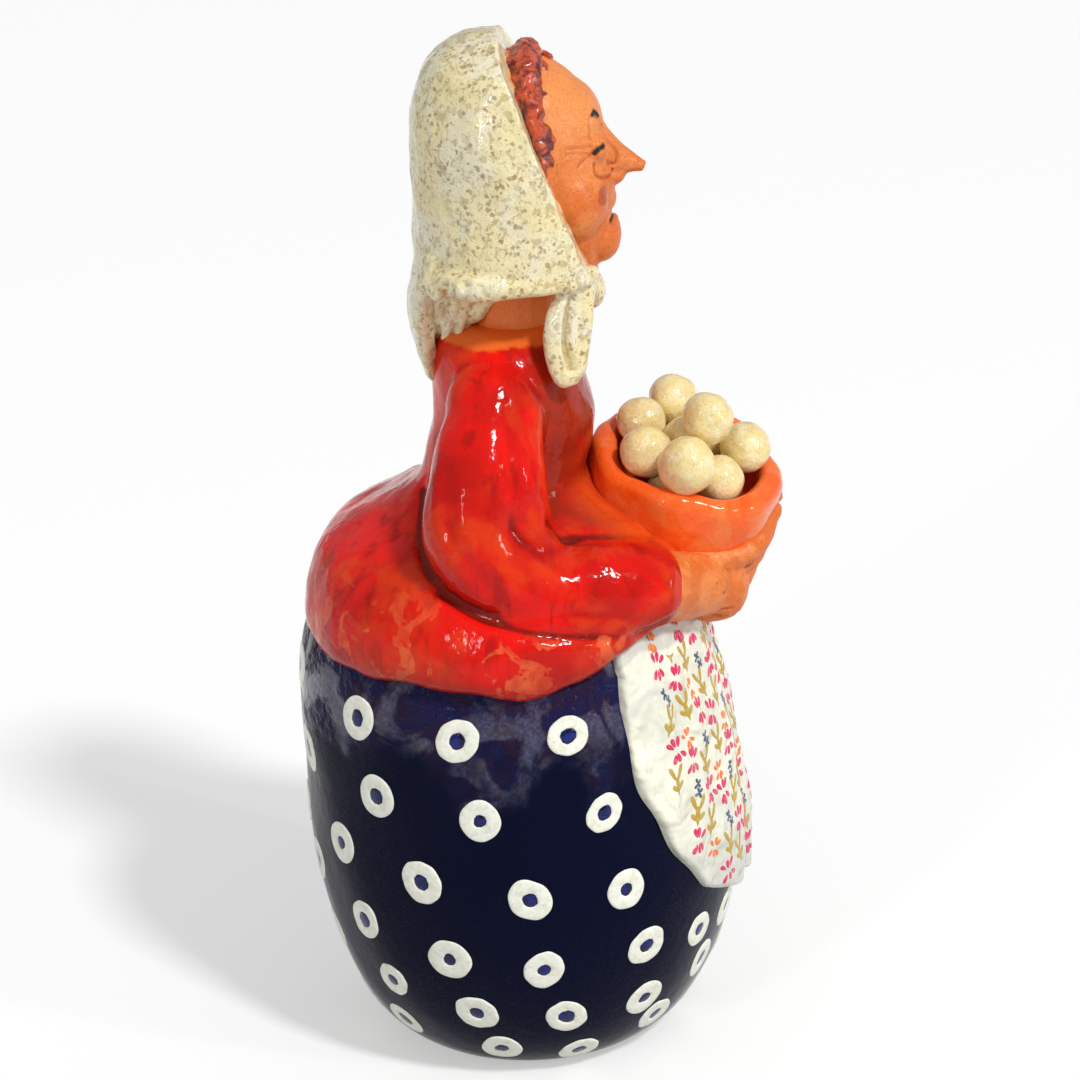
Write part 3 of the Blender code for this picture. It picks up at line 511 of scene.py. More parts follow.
ivory, tree, surface = finish_named("ivory_glaze", roughness=0.32, coat=0.25)
height = height_in(tree)
# Painted shade: the apron greys towards its bottom, where the bell turns under, and in a ragged band under
# the blouse's hem. The other grey patches are its own.
low = eased(tree, height, 0.075, 0.042, 0, 0.65)
grey = patches(tree, 0.012, 0.35, 0.4, strength=0.4)
hem_shade_line = combined(tree, "ADD", height, times(tree, clouds(tree, 0.02), 0.014))
painted_hem_shade = eased(tree, hem_shade_line, PAINTED_HEM_SHADE_FROM, PAINTED_HEM_SHADE_TO, 0, 0.75)
greyed = combined(tree, "MAXIMUM", combined(tree, "MAXIMUM", low, grey), painted_hem_shade)
colour = blended(tree, greyed, IVORY, GREY_IVORY)
thin = patches(tree, 0.0022, 0.08, 0.14, strength=0.4)
coloured(tree, surface, blended(tree, thin, colour, THIN_IVORY))
hand_pressed(tree, surface, size=0.0080, pits=0.01, depth=0.0030)

across = np.linspace(-1, 1, 200)
across = np.sin(across * math.pi / 2) * 0.25 + across * 0.75
apron_rows = []
for share in np.linspace(0.0, 1, 120):
    drop = math.cos(share * math.pi / 2)
    turn = across * max(float(apron_width(drop)), math.radians(1.0))
    spin = np.arctan2(drop, turn)
    wave = 1 + 0.010 * np.sin(9 * spin + 1) + 0.008 * np.sin(21 * spin)
    height = HEM_HEIGHT - APRON_LENGTH * drop
    rim = np.maximum(np.abs(across), drop) ** 6
    run = skirt_run_at(height - APRON_ARC * (wave - 1) * rim)
    apron_rows.append(on_skirt(turn * (1 + (wave - 1) * rim), run, apron_lift(turn, height)))
turn = across * APRON_HALF_ANGLE
for height in np.linspace(HEM_HEIGHT, HEM_HEIGHT + APRON_TUCK, 10)[1:]:
    apron_rows.append(on_skirt(turn, skirt_run_at(height), apron_lift(turn, HEM_HEIGHT)))
apron = skinned("apron", np.array(apron_rows), ivory, wrap=False)
stands_for(apron, "white_slip", "figure")


# Sprigs. Small flowers, twigs and buds dabbed on the apron with a fine brush in ceramic paint. They
# run down it in loose garlands, inside a bare margin.
DAB_DEPTH = 0.00014
DAB_STEPS = 14
SPRIG_MARGIN = 0.0072
GARLAND_SPACING = 0.0057
SPRIG_SPACING = 0.0068
GARLAND_START = 0.008
GARLAND_STAGGER = 0.0028
GARLAND_END = 0.007
PAINTS = {
    "rose_paint": (0.72, 0.014, 0.105, 1),
    "orange_paint": (0.88, 0.20, 0.014, 1),
    "ochre_paint": (0.52, 0.33, 0.012, 1),
    "slate_paint": (0.06, 0.09, 0.15, 1),
}


def dab(turn, height, across, up, length, width, angle, paint):
    """One press of the brush: a long low drop, this far across and up from the sprig's middle."""
    circle = full_turn(DAB_STEPS)
    rows = []
    for share, lift in ((1, -0.3), (0.86, 0.6), (0.5, 1), (0.12, 1.05)):
        along = share * length * np.cos(circle)
        aside = share * width * np.sin(circle) * (1 + 0.35 * np.cos(circle))
        x = across + along * math.cos(angle) - aside * math.sin(angle)
        y = up + along * math.sin(angle) + aside * math.cos(angle)
        rows.append(on_apron(turn + x / APRON_ARC, height + y, lift * DAB_DEPTH))
    return np.array(rows), paint


def sprig(chance, turn, height, kind):
    """A flower, a forked twig or a few buds, painted in quick strokes and turned a little."""
    aim = math.pi / 2 + chance.uniform(-0.35, 0.35)
    found = []

    def put(along, aside, length, width, turned_by, paint):
        """Adds a dab by millimetres along the sprig and aside of its middle."""
        x = (along * math.cos(aim) - aside * math.sin(aim)) / 1000
        y = (along * math.sin(aim) + aside * math.cos(aim)) / 1000
        angle = aim + turned_by
        found.append(dab(turn, height, x, y, length / 1000, width / 1000, angle, paint))

    if kind in ("rose_paint", "orange_paint"):
        size = 1.0 if kind == "rose_paint" else 0.75
        for petal in range(6):
            spin = (petal // 3) * math.pi + (petal % 3 - 1) * 0.62 + chance.uniform(-0.15, 0.15)
            reach = size * chance.uniform(1.7, 2.2)
            put(reach * math.cos(spin), 1.15 * reach * math.sin(spin), 1.30 * size, 0.62 * size, spin, kind)
    elif kind == "ochre_paint":
        for branch in (-1, 1):
            put(2.0, branch * 1.05, 2.1, 0.56, branch * 0.38, kind)
            put(-1.5, branch * 0.95, 1.4, 0.58, branch * 0.7, kind)
        put(-1.3, 0, 2.6, 0.58, chance.uniform(-0.1, 0.1), kind)
    else:
        for bud in (-1, 1):
            for petal in range(4):
                spin = math.pi / 4 + petal * math.pi / 2 + chance.uniform(-0.3, 0.3)
                along, aside = bud * 1.1 + 0.7 * math.cos(spin), bud * 0.4 + 0.6 * math.sin(spin)
                put(along, aside, 0.75, 0.38, spin, kind)
    return found


sprig_brush = random.Random(21)
dabs = []
kinds = ["slate_paint", "ochre_paint", "rose_paint", "ochre_paint", "orange_paint", "rose_paint"]
garlands = int(APRON_ARC * APRON_HALF_ANGLE / GARLAND_SPACING)
for garland in range(-garlands, garlands + 1):
    step = (garland * 2) % len(kinds)
    height = HEM_HEIGHT + GARLAND_START - GARLAND_STAGGER * (garland % 2)
    while height > HEM_HEIGHT - APRON_LENGTH + GARLAND_END:
        kind = kinds[step % len(kinds)]
        arc = garland * GARLAND_SPACING + sprig_brush.uniform(-0.0009, 0.0009)
        half_arc = float(apron_width((HEM_HEIGHT - height) / APRON_LENGTH)) * APRON_ARC
        if half_arc - abs(arc) > SPRIG_MARGIN:
            dabs += sprig(sprig_brush, arc / APRON_ARC, height, kind)
        height -= SPRIG_SPACING * (0.8 if kind in ("slate_paint", "orange_paint") else 1.05)
        step += 1
for paint, colour in PAINTS.items():
    finish, tree, surface = finish_named(paint, roughness=0.28)
    faded = tuple(0.8 * channel + 0.14 for channel in colour[:3]) + (1,)
    coloured(tree, surface, blended(tree, patches(tree, 0.0013, 0.3, 0.35), colour, faded))
    name = "sprigs_" + paint.split("_")[0]
    skins = [rows for rows, used in dabs if used == paint]
    piece = joined_patches(name, skins, finish, closed_middle=True)
    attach(piece, "root")


# Blouse. A slab of clay laid over the bell and flared out into a thick waved hem, and two coils for
# sleeves, smeared on with a thumb. The glaze is red, runs dark into the creases and breaks to
# orange over the ridges and along the hem. The creases and undersides are painted darker still
# as shade, and the chest behind the bowl partly so.
HEM_THICKNESS = 0.0024
WAIST_HEIGHT = 0.144
WAIST_HALF_WIDTH = 0.0205
WAIST_HALF_DEPTH = 0.0178
SHOULDER_HEIGHT = 0.161
SHOULDER_HALF_WIDTH = 0.0222
SHOULDER_HALF_DEPTH = 0.0172
NECKLINE_HEIGHT = 0.1750
SLEEVE_RADIUS = 0.0108
CUFF_RADIUS = 0.0098
ELBOW_HEIGHT = 0.1290
ELBOW_BACKSET = 0.0072
ELBOW_SPREAD = 0.0345
NECK_RADIUS = 0.0112
HEAD_FORWARD = 0.0040
BOWL_RADIUS = 0.0222
BOWL_DEPTH = 0.031
BOWL_FORWARD = 0.0403
BOWL_RIM_HEIGHT = 0.1408
SIGHT_DISTANCE = 0.720
SIGHT_HEIGHT = 0.4165
RED = (0.84, 0.009, 0.005, 1)
DEEP_RED = (0.33, 0.006, 0.003, 1)
CREASE_SHADE_BROWN = (0.16, 0.008, 0.003, 1)
CHEST_BROWN = (0.30, 0.020, 0.005, 1)
BREAKING_ORANGE = (0.76, 0.052, 0.007, 1)
BREAKING_RUST = (0.86, 0.150, 0.045, 1)
COLLAR_CLAY = (0.84, 0.15, 0.022, 1)
LUTED_ORANGE = (0.72, 0.075, 0.010, 1)
HEM_RISE = 0.0085
HEM_WAVE = 0.0012
HEM_TOP = 0.127
BODY_COLUMNS = 192
TUCK_HEIGHT = 0.129
TUCK_SPREAD = 0.009
CHEST_HALF_WIDTH = 0.025
CHEST_BOTTOM = 0.122


def smooth_through(points, steps):
    """Points on a smooth curve through these ones, as tuples of any length."""
    found = []
    last = len(points) - 1
    for i in range(last):
        before = points[max(i - 1, 0)]
        start, end = points[i], points[i + 1]
        after = points[min(i + 2, last)]
        for step in range(steps):
            t = step / steps
            found.append(
                tuple(
                    0.5 * (2 * b + (c - a) * t + (2 * a - 5 * b + 4 * c - d) * t * t)
                    + 0.5 * (3 * b - a - 3 * c + d) * t**3
                    for a, b, c, d in zip(before, start, end, after)
                )
            )
    return found + [tuple(points[last])]


def oval(half_width, half_depth, forward, height, count=96, wave=0.0, waves=1):
    """A level oval ring. A wave lifts and lowers it as it goes round."""
    turn = full_turn(count)
    lift = wave * np.sin(waves * turn + 0.6)
    across = [half_width * np.cos(turn), half_depth * np.sin(turn) - forward, height + lift]
    return np.stack(across, axis=1)


def ball(centre, radii):
    """A lump of clay rolled to an oval."""
    form = bmesh.new()
    shape = Matrix.Translation(centre) @ Matrix.Diagonal((*radii, 1))
    bmesh.ops.create_uvsphere(form, u_segments=40, v_segments=24, radius=1, matrix=shape)
    mesh = bpy.data.meshes.new("ball")
    form.to_mesh(mesh)
    form.free()
    return object_from("ball", mesh)


def coil(points, radii):
    """A coil of clay along these points, with its own radius at each of them."""
    path = bpy.data.curves.new("coil", "CURVE")
    path.dimensions = "3D"
    path.bevel_depth = 1.0
    path.bevel_resolution = 8
    path.use_fill_caps = True
    path.resolution_u = 14
    spline = path.splines.new("BEZIER")
    spline.bezier_points.add(len(points) - 1)
    for knot, point, radius in zip(spline.bezier_points, points, radii):
        knot.co = point
        knot.radius = radius
        knot.handle_left_type = knot.handle_right_type = "AUTO"
    return object_from("coil", path)


def smeared(name, forms, finish, grain, softness):
    """Joins overlapping lumps of clay into one skin and smears their joints smooth."""
    bpy.context.view_layer.update()
    graph = bpy.context.evaluated_depsgraph_get()
    joined = bmesh.new()
    for form in forms:
        mesh = bpy.data.meshes.new_from_object(form.evaluated_get(graph))
        mesh.transform(form.matrix_world)
        lump = bmesh.new()
        lump.from_mesh(mesh)
        bmesh.ops.remove_doubles(lump, verts=lump.verts, dist=0.00001)
        bmesh.ops.recalc_face_normals(lump, faces=lump.faces)
        lump.to_mesh(mesh)
        lump.free()
        joined.from_mesh(mesh)
        bpy.data.meshes.remove(mesh)
    for form in forms:
        bpy.data.objects.remove(form)
    mesh = bpy.data.meshes.new(name)
    joined.to_mesh(mesh)
    joined.free()
    mesh.materials.clear()
    made = object_from(name, mesh, finish)
    remesh = made.modifiers.new("One skin", "REMESH")
    remesh.mode = "VOXEL"
    remesh.voxel_size = grain
    smooth = made.modifiers.new("Smeared joints", "SMOOTH")
    smooth.factor = 0.5
    smooth.iterations = softness
    settle(made)
    return made


def skin_of(made):
    """The points of the piece's skin, and which way each faces."""
    count = len(made.data.vertices)
    points = np.empty(3 * count, np.float32)
    facing = np.empty(3 * count, np.float32)
    made.data.vertices.foreach_get("co", points)
    made.data.vertices.foreach_get("normal", facing)
    return points.reshape(-1, 3).astype(float), facing.reshape(-1, 3).astype(float)


def reshape_skin(made, points):
    """Moves the points of the piece's skin to these places."""
    made.data.vertices.foreach_set("co", points.astype(np.float32).ravel())
    made.data.update()


def mark(made, name, values):
    """Keeps a value for each point of the skin, for the material to use."""
    layer = made.data.attributes.get(name) or made.data.attributes.new(name, "FLOAT", "POINT")
    layer.data.foreach_set("value", values.astype(np.float32))


def evened(made, values, rounds):
    """Averages values over neighbouring points of the skin, this many times."""
    ends = np.empty(2 * len(made.data.edges), np.int32)
    made.data.edges.foreach_get("vertices", ends)
    ends = ends.reshape(-1, 2)
    count = len(made.data.vertices)
    neighbours = np.maximum(np.bincount(ends.ravel(), minlength=count), 1)
    columns = values.reshape(count, -1).copy()
    for _ in range(rounds):
        for k in range(columns.shape[1]):
            total = np.bincount(ends[:, 0], columns[ends[:, 1], k], count)
            total += np.bincount(ends[:, 1], columns[ends[:, 0], k], count)
            columns[:, k] = 0.5 * columns[:, k] + 0.5 * total / neighbours
    return columns.reshape(values.shape)


def marked(tree, name):
    """The value that the piece's skin keeps under this name."""
    return wired(tree, "ShaderNodeAttribute", attribute_name=name).outputs["Fac"]


def ramp(values, start, span):
    """A share from 0 to 1 as the values go from start to start + span."""
    return np.clip((values - start) / span, 0, 1)


def mark_ridges(made, rounds, height):
    """Marks ridges (1) and creases (0): where glaze thins or pools, and where some finishes paint shade in
    the creases or light on the ridges.
    """
    points, facing = skin_of(made)
    rise = ((points - evened(made, points, rounds)) * facing).sum(axis=1)
    mark(made, "ridge", np.clip(0.5 + 0.5 * rise / height, 0, 1))


def bumps(points, size, seed):
    """Soft noise from about -1 to 1 at each point, with lumps about this many metres across."""
    shift = Vector((7.3 * seed, 3.1 * seed, 5.9 * seed))
    return 1.6 * np.array([noise.noise(Vector(point) / size + shift) for point in points])


def thumbed(made, size, depth, seed):
    """Dents the skin all over, as thumbs leave it."""
    points, facing = skin_of(made)
    reshape_skin(made, points + facing * (depth * bumps(points, size, seed))[:, None])


def distance_to(points, stroke):
    """How far each point lies from a stroke that runs through these places."""
    best = np.full(len(points), 1.0)
    for start, end in zip(stroke, stroke[1:]):
        along = end - start
        share = np.clip((points - start) @ along / max(along @ along, 1e-12), 0, 1)
        best = np.minimum(best, np.linalg.norm(points - start - share[:, None] * along, axis=1))
    return best


def tooled(made, strokes, width, depth, burr=0.3):
    """Presses a tool into the skin along strokes, and raises a little clay beside each."""
    points, facing = skin_of(made)
    push = np.zeros(len(points))
    for stroke in strokes:
        stroke = np.array(smooth_through([tuple(place) for place in stroke], 5))
        away = distance_to(points, stroke) / width
        cut = np.exp(-(away**2)) - burr * np.exp(-((away - 1.9) ** 2) * 1.5)
        push = np.where(np.abs(cut) > np.abs(push), cut, push)
    reshape_skin(made, points - facing * (push * depth)[:, None])


def beside(made, side, marks, plane=0.008):
    """Places on the skin as seen from her side and above, where the line of sight through each
    mark crosses an upright plane this far aside of her axis: millimetres forward and up."""
    tree = BVHTree.FromObject(made, bpy.context.evaluated_depsgraph_get())
    eye = at(side * SIGHT_DISTANCE, 0.025, SIGHT_HEIGHT)
    found = []
    for forward, height in marks:
        through = at(side * plane, forward / 1000, height / 1000)
        hit = tree.ray_cast(eye, (through - eye).normalized())[0]
        if hit is None or hit.x * side < 0.2 * plane:
            hit = tree.find_nearest(through)[0]
        found.append(np.array(hit))
    return found


def bowl_radius_at(depth):
    """The bowl's outer radius at this depth under its rim."""
    return BOWL_RADIUS * math.sqrt(1 - 0.40 * (min(max(depth, 0), BOWL_DEPTH) / BOWL_DEPTH) ** 3)


def blouse_body():
    """The slab over the skirt's shoulders, tucked in behind the bowl and drawn up to the neckline."""
    hem = float(np.interp(HEM_HEIGHT, SKIRT_OUTLINE[:, 1], SKIRT_OUTLINE[:, 0])) + HEM_THICKNESS
    rise = WAIST_HEIGHT - HEM_HEIGHT
    chest = (WAIST_HEIGHT + SHOULDER_HEIGHT) / 2
    width, depth = WAIST_HALF_WIDTH, WAIST_HALF_DEPTH
    yoke = NECKLINE_HEIGHT - SHOULDER_HEIGHT
    collar = 1.05 * NECK_RADIUS
    lip = HEM_THICKNESS
    # Each section: half width, half depth, how far its centre lies forward, height.
    sections = [
        (hem - 1.6 * lip, hem - 1.6 * lip, 0.0, HEM_HEIGHT + 0.2 * lip),
        (hem - 0.5 * lip, hem - 0.5 * lip, 0.0, HEM_HEIGHT - 0.1 * lip),
        (hem + 0.4 * lip, hem - 0.1 * lip, -0.15 * lip, HEM_HEIGHT + 0.10 * rise),
        (hem - 0.2 * lip, 0.95 * hem, -0.20 * lip, HEM_HEIGHT + 0.32 * rise),
        (0.84 * hem, 0.86 * hem, -0.33 * lip, HEM_HEIGHT + 0.52 * rise),
        (1.45 * width, 1.66 * depth, -0.33 * lip, HEM_HEIGHT + 0.70 * rise),
        (1.10 * width, 1.20 * depth, -0.20 * lip, HEM_HEIGHT + 0.84 * rise),
        (width, 1.06 * depth, -0.10 * lip, WAIST_HEIGHT + 0.0015),
        (1.04 * width, 1.02 * depth, 0.30 * lip, chest),
        (SHOULDER_HALF_WIDTH, SHOULDER_HALF_DEPTH, 0.0, SHOULDER_HEIGHT),
        (0.90 * SHOULDER_HALF_WIDTH, SHOULDER_HALF_DEPTH, -0.1 * lip, SHOULDER_HEIGHT + 0.55 * yoke),
        (0.72 * SHOULDER_HALF_WIDTH, 0.84 * SHOULDER_HALF_DEPTH, -0.5 * lip, SHOULDER_HEIGHT + 0.88 * yoke),
        (collar, collar, HEAD_FORWARD - 0.13 * NECK_RADIUS, NECKLINE_HEIGHT),
    ]
    rows = []
    for i, (half_width, half_depth, forward, height) in enumerate(smooth_through(sections, 6)):
        fade = max(0.0, 1 - i / 20)
        row = oval(half_width, half_depth, forward, height, BODY_COLUMNS, HEM_WAVE * fade, 5)
        row[:, 2] += fade * 0.0006 * np.sin(17 * full_turn(BODY_COLUMNS) + 1)
        turn = np.arctan2(row[:, 0], -row[:, 1])
        firm = np.clip((WAIST_HEIGHT - height) / (0.6 * rise), 0, 1)
        lean = np.minimum(belly_lean(turn, HEM_HEIGHT), 0)
        tucked = 0.28 * np.clip(np.cos(turn), 0, 1) ** 2
        tucked = tucked * math.exp(-(((height - TUCK_HEIGHT) / TUCK_SPREAD) ** 2))
        row[:, :2] *= (1 + firm * lean / half_width - tucked)[:, None]
        row[:, 2] += firm * HEM_RISE * np.clip((np.cos(turn) - 0.15) / 0.6, 0, 1)
        rows.append(row)
    return skinned("body", np.array(rows))


def cuff_centre(side):
    """Where the forearm ends, beside the lower half of the bowl."""
    reach = bowl_radius_at(0.70 * BOWL_DEPTH) + 0.85 * CUFF_RADIUS
    height = BOWL_RIM_HEIGHT - 0.66 * BOWL_DEPTH
    return at(side * reach, BOWL_FORWARD - 0.9 * CUFF_RADIUS, height)


def sleeve(side):
    """Shoulder, a wide upper arm of two coils side by side, and a forearm to the round cuff."""
    thick = SLEEVE_RADIUS
    cuff = cuff_centre(side)
    elbow = at(side * ELBOW_SPREAD, -ELBOW_BACKSET, ELBOW_HEIGHT)
    inset = SHOULDER_HALF_WIDTH - 0.28 * thick
    shoulder = at(side * inset, -0.32 * thick, SHOULDER_HEIGHT - 0.1 * thick)
    upper = shoulder.lerp(elbow, 0.45) + at(side * 0.30 * thick, -0.11 * thick, 0.09 * thick)
    lower = shoulder.lerp(elbow, 0.88) + at(side * 0.16 * thick, 0, 0)
    forearm = elbow.lerp(cuff, 0.36) + at(side * 0.22 * thick, 0, -0.30 * thick)
    ahead = (cuff - forearm).normalized() * CUFF_RADIUS
    points = [shoulder, upper, lower, forearm, cuff - 0.5 * ahead, cuff + 0.25 * ahead]
    points.append(cuff + 0.62 * ahead)
    radii = [0.88 * thick, 1.0 * thick, 1.02 * thick, 0.97 * thick]
    radii += [1.02 * CUFF_RADIUS, 0.92 * CUFF_RADIUS, 0.50 * CUFF_RADIUS]
    front = at(side * -0.08 * thick, 0.55 * thick, 0)
    crook = lower.lerp(forearm, 0.6) + at(side * -0.1 * thick, 0.3 * thick, 0.35 * thick)
    return [
        ball(shoulder, (0.9 * thick, 0.95 * thick, 0.95 * thick)),
        coil(points, radii),
        coil([shoulder + 0.7 * front, upper + front, crook], [0.7 * thick, 0.86 * thick, 0.62 * thick]),
    ]


red, tree, surface = finish_named("breaking_red_glaze", roughness=0.10, shine=0.17)
ridge = marked(tree, "ridge")
colour = blended(tree, patches(tree, 0.022, 0.35, 0.45, strength=0.55), RED, DEEP_RED)
upright = wired(tree, "ShaderNodeVectorMath", {0: place_in(tree), 1: (1, 1, 0.2)}, operation="MULTIPLY")
inputs = {"Vector": upright.outputs[0], "Scale": 240.0, "Detail": 3.0, "Distortion": 0.4}
runs = wired(tree, "ShaderNodeTexNoise", inputs).outputs[0]
colour = blended(tree, eased(tree, runs, 0.52, 0.68, 0, 0.6), colour, DEEP_RED)
# Creases: glaze pooled dark, deepened with painted shade.
colour = blended(tree, eased(tree, ridge, 0.42, 0.08, 0, 0.9), colour, CREASE_SHADE_BROWN)
mottles = eased(tree, clouds(tree, 0.006, detail=3.0, distortion=0.5), 0.35, 0.62, 0.35, 1.0)
broken = times(tree, patches(tree, 0.020, 0.18, 0.46), mottles)
broken = times(tree, broken, eased(tree, ridge, 0.25, 0.60))
colour = blended(tree, times(tree, broken, 0.65), colour, BREAKING_ORANGE)
rust = times(tree, marked(tree, "hem"), patches(tree, 0.009, 0.05, 0.38))
colour = blended(tree, times(tree, rust, times(tree, mottles, 0.8)), colour, BREAKING_RUST)
# The chest behind the bowl, between the arms, is painted brown in uneven patches: streaked glaze and
# painted shade.
uneven = eased(tree, clouds(tree, 0.009, detail=3.0), 0.30, 0.55, 0.55, 1.0)
chest = times(tree, marked(tree, "chest"), uneven)
colour = blended(tree, times(tree, chest, 0.85), colour, CHEST_BROWN)
# Painted shade on the undersides of the arms and the hem.
colour = blended(tree, times(tree, marked(tree, "under"), 0.8), colour, DEEP_RED)
uneven = eased(tree, clouds(tree, 0.005), 0.25, 0.55, 0.4, 1.0)
colour = blended(tree, times(tree, marked(tree, "luted"), uneven), colour, LUTED_ORANGE)
coloured(tree, surface, blended(tree, marked(tree, "collar"), colour, COLLAR_CLAY))
hand_pressed(tree, surface, size=0.0045, pits=0.18, depth=0.00036)

blouse = smeared("blouse", [blouse_body(), *sleeve(-1), *sleeve(1)], red, grain=0.0009, softness=8)
thumbed(blouse, size=0.014, depth=0.00045, seed=3)
thumbed(blouse, size=0.005, depth=0.00012, seed=5)
# Strokes in millimetres forward and up, as seen from her side.
FOLD = [(-13, 150), (-13.5, 141), (-11, 131), (-5, 123)]
UNDER_ARM = [(-15.4, 123.5), (-6.8, 117), (3.5, 113), (15.4, 111.5), (28.8, 111.8), (36, 113.5)]
ARM_CROOK = [(9, 136.5), (14.5, 133), (23.4, 133.6), (31, 133.6)]
BEHIND_ARM = [(-19, 146), (-19.8, 136), (-18.5, 128), (-15.4, 123.5)]
folds, creases = [], []
for side in (-1, 1):
    folds.append(beside(blouse, side, FOLD, 0.033))
    creases.append(beside(blouse, side, UNDER_ARM, 0.036))
    creases.append(beside(blouse, side, ARM_CROOK, 0.030))
    creases.append(beside(blouse, side, BEHIND_ARM, 0.033))
tooled(blouse, folds, width=0.0018, depth=0.0004, burr=0.5)
tooled(blouse, creases, width=0.0016, depth=0.0010, burr=0.15)
points, facing = skin_of(blouse)
aside, ahead, height = points[:, 0], -points[:, 1], points[:, 2]
hem_share = np.clip((HEM_TOP - height + 0.004 * bumps(points, 0.012, 9)) / 0.014, 0, 1)
off_axis = ramp(np.hypot(aside, ahead), 0.034, 0.008)
# The forearms lie over the hem, and their own glaze doesn't break.
arm_edge = np.interp(ahead, [-0.0154, -0.0068, 0.0035, 0.0154], [0.1275, 0.1205, 0.1165, 0.1150])
clear_of_arm = np.clip(0.5 + (arm_edge - height) / 0.003, 0, 1)
mark(blouse, "hem", hem_share * off_axis * clear_of_arm)
collar_waver = 0.0007 * bumps(points, 0.008, 8) + 0.0004 * bumps(points, 0.002, 9)
mark(blouse, "collar", ramp(height, NECKLINE_HEIGHT - 0.0030 + collar_waver, 0.0005))
within = np.clip((CHEST_HALF_WIDTH - np.abs(aside)) / 0.004, 0, 1) * ramp(ahead, 0.004, 0.005)
mark(blouse, "chest", within * ramp(height, CHEST_BOTTOM, 0.006))
# Painted shade: faces turned down, low on the blouse, are marked to be darkened.
underside_shade = np.clip(0.1 - 1.3 * facing[:, 2], 0, 1) * np.clip((0.136 - height) / 0.008, 0, 1)
mark(blouse, "under", evened(blouse, underside_shade, rounds=12))
mark_ridges(blouse, rounds=14, height=0.00035)
stands_for(blouse, "red_glaze", "figure")


# Bowl. Turned of the same clay with a thick round lip, pressed into her chest while soft, so that
# it leans forward and to her right. A thin clear glaze leaves it a warm orange.
BOWL_WALL = 0.0055
BOWL_HOLLOW = 0.014
BOWL_LEAN = math.radians(12)
BOWL_SIDE_LEAN = math.radians(12)
ORANGE = (0.98, 0.125, 0.013, 1)
PALE_ORANGE = (0.97, 0.21, 0.045, 1)
BURNT_ORANGE = (0.60, 0.050, 0.008, 1)


def bowl_frame():
    """From the bowl's own frame, with its rim at z = 0 and its axis on Z, to the figure's."""
    rim = Matrix.Translation(at(0, BOWL_FORWARD, BOWL_RIM_HEIGHT))
    return rim @ Matrix.Rotation(BOWL_LEAN, 4, "X") @ Matrix.Rotation(-BOWL_SIDE_LEAN, 4, "Y")


def bowl_outline():
    """(radius, height) from the bowl's foot, up its outside and over the lip to its floor."""
    outline = [(0.001, -BOWL_DEPTH)]
    outline += [(bowl_radius_at(BOWL_DEPTH) * share, -BOWL_DEPTH) for share in (0.4, 0.8, 0.96)]
    outline += [(bowl_radius_at(BOWL_DEPTH * k / 24), -BOWL_DEPTH * k / 24) for k in range(23, 2, -1)]
    inner = BOWL_RADIUS - BOWL_WALL
    lip = BOWL_WALL / 2
    for k in range(17):
        turn = math.pi * k / 16
        outline.append((inner + lip + lip * math.cos(turn), -lip + lip * math.sin(turn)))
    for k in range(1, 13):
        depth = math.sin(math.pi / 2 * k / 12)
        outline.append((max(0.001, inner * math.sqrt(1 - depth**3.2)), -BOWL_HOLLOW * depth))
    return outline


orange, tree, surface = finish_named("orange_glaze", roughness=0.12, shine=0.25, coat=0.10)
colour = blended(tree, patches(tree, 0.010, 0.3, 0.42), ORANGE, PALE_ORANGE)
colour = blended(tree, eased(tree, marked(tree, "ridge"), 0.40, 0.1, 0, 0.7), colour, BURNT_ORANGE)
uneven = eased(tree, clouds(tree, 0.006), 0.30, 0.60, 0.35, 1.0)
colour = blended(tree, times(tree, marked(tree, "chestward"), uneven), colour, LUTED_ORANGE)
specks = patches(tree, 0.0009, 0.05, 0.07, strength=0.5)
coloured(tree, surface, blended(tree, specks, colour, BURNT_ORANGE))
hand_pressed(tree, surface, size=0.006, pits=0.3, depth=0.0003)

bowl = turned("bowl", bowl_outline(), 160)
bowl.data.materials.append(orange)
points, facing = skin_of(bowl)
turn = np.arctan2(points[:, 1], points[:, 0])
sway = 0.0005 * np.sin(2 * turn + 0.4) + 0.0004 * np.sin(3 * turn + 2) + 0.00025 * np.sin(7 * turn)
points[:, :2] *= (1 + sway / BOWL_RADIUS)[:, None]
points[:, 2] += 0.0005 * np.sin(2 * turn + 1.2) + 0.0003 * np.sin(5 * turn)
reshape_skin(bowl, points)
bowl.data.transform(bowl_frame())
thumbed(bowl, size=0.010, depth=0.0006, seed=11)
thumbed(bowl, size=0.004, depth=0.00012, seed=12)
mark_ridges(bowl, rounds=8, height=0.00025)
points, facing = skin_of(bowl)
inward = ramp(points[:, 1], -0.035, 0.012)
mark(bowl, "chestward", inward * np.clip((0.139 - points[:, 2]) / 0.010, 0, 1))
# The blouse is luted to the bowl from just under its rim down to the hem.
points, facing = skin_of(blouse)
local = (points - np.array(bowl_frame().translation)) @ np.array(bowl_frame().to_3x3())
outside = np.hypot(local[:, 0], local[:, 1]) - BOWL_RADIUS
below_rim = ramp(-local[:, 2], 0.002, 0.004)
luted = np.clip(1.4 - outside / 0.008, 0, 1) * below_rim * (points[:, 2] > 0.118)
mark(blouse, "luted", luted)
stands_for(bowl, "orange_glaze", "figure")


# Hands. Pinched out of bare clay, one on each side, with four fingers wrapped round the bowl.
# Their creases are pressed in with a tool, and they are left unglazed but for a thin wash.
FINGER_RADIUS = 0.0034
BARE_CLAY = (0.74, 0.165, 0.027, 1)
BARE_SHADE = (0.45, 0.070, 0.012, 1)
BARE_LIGHT = (0.93, 0.33, 0.095, 1)
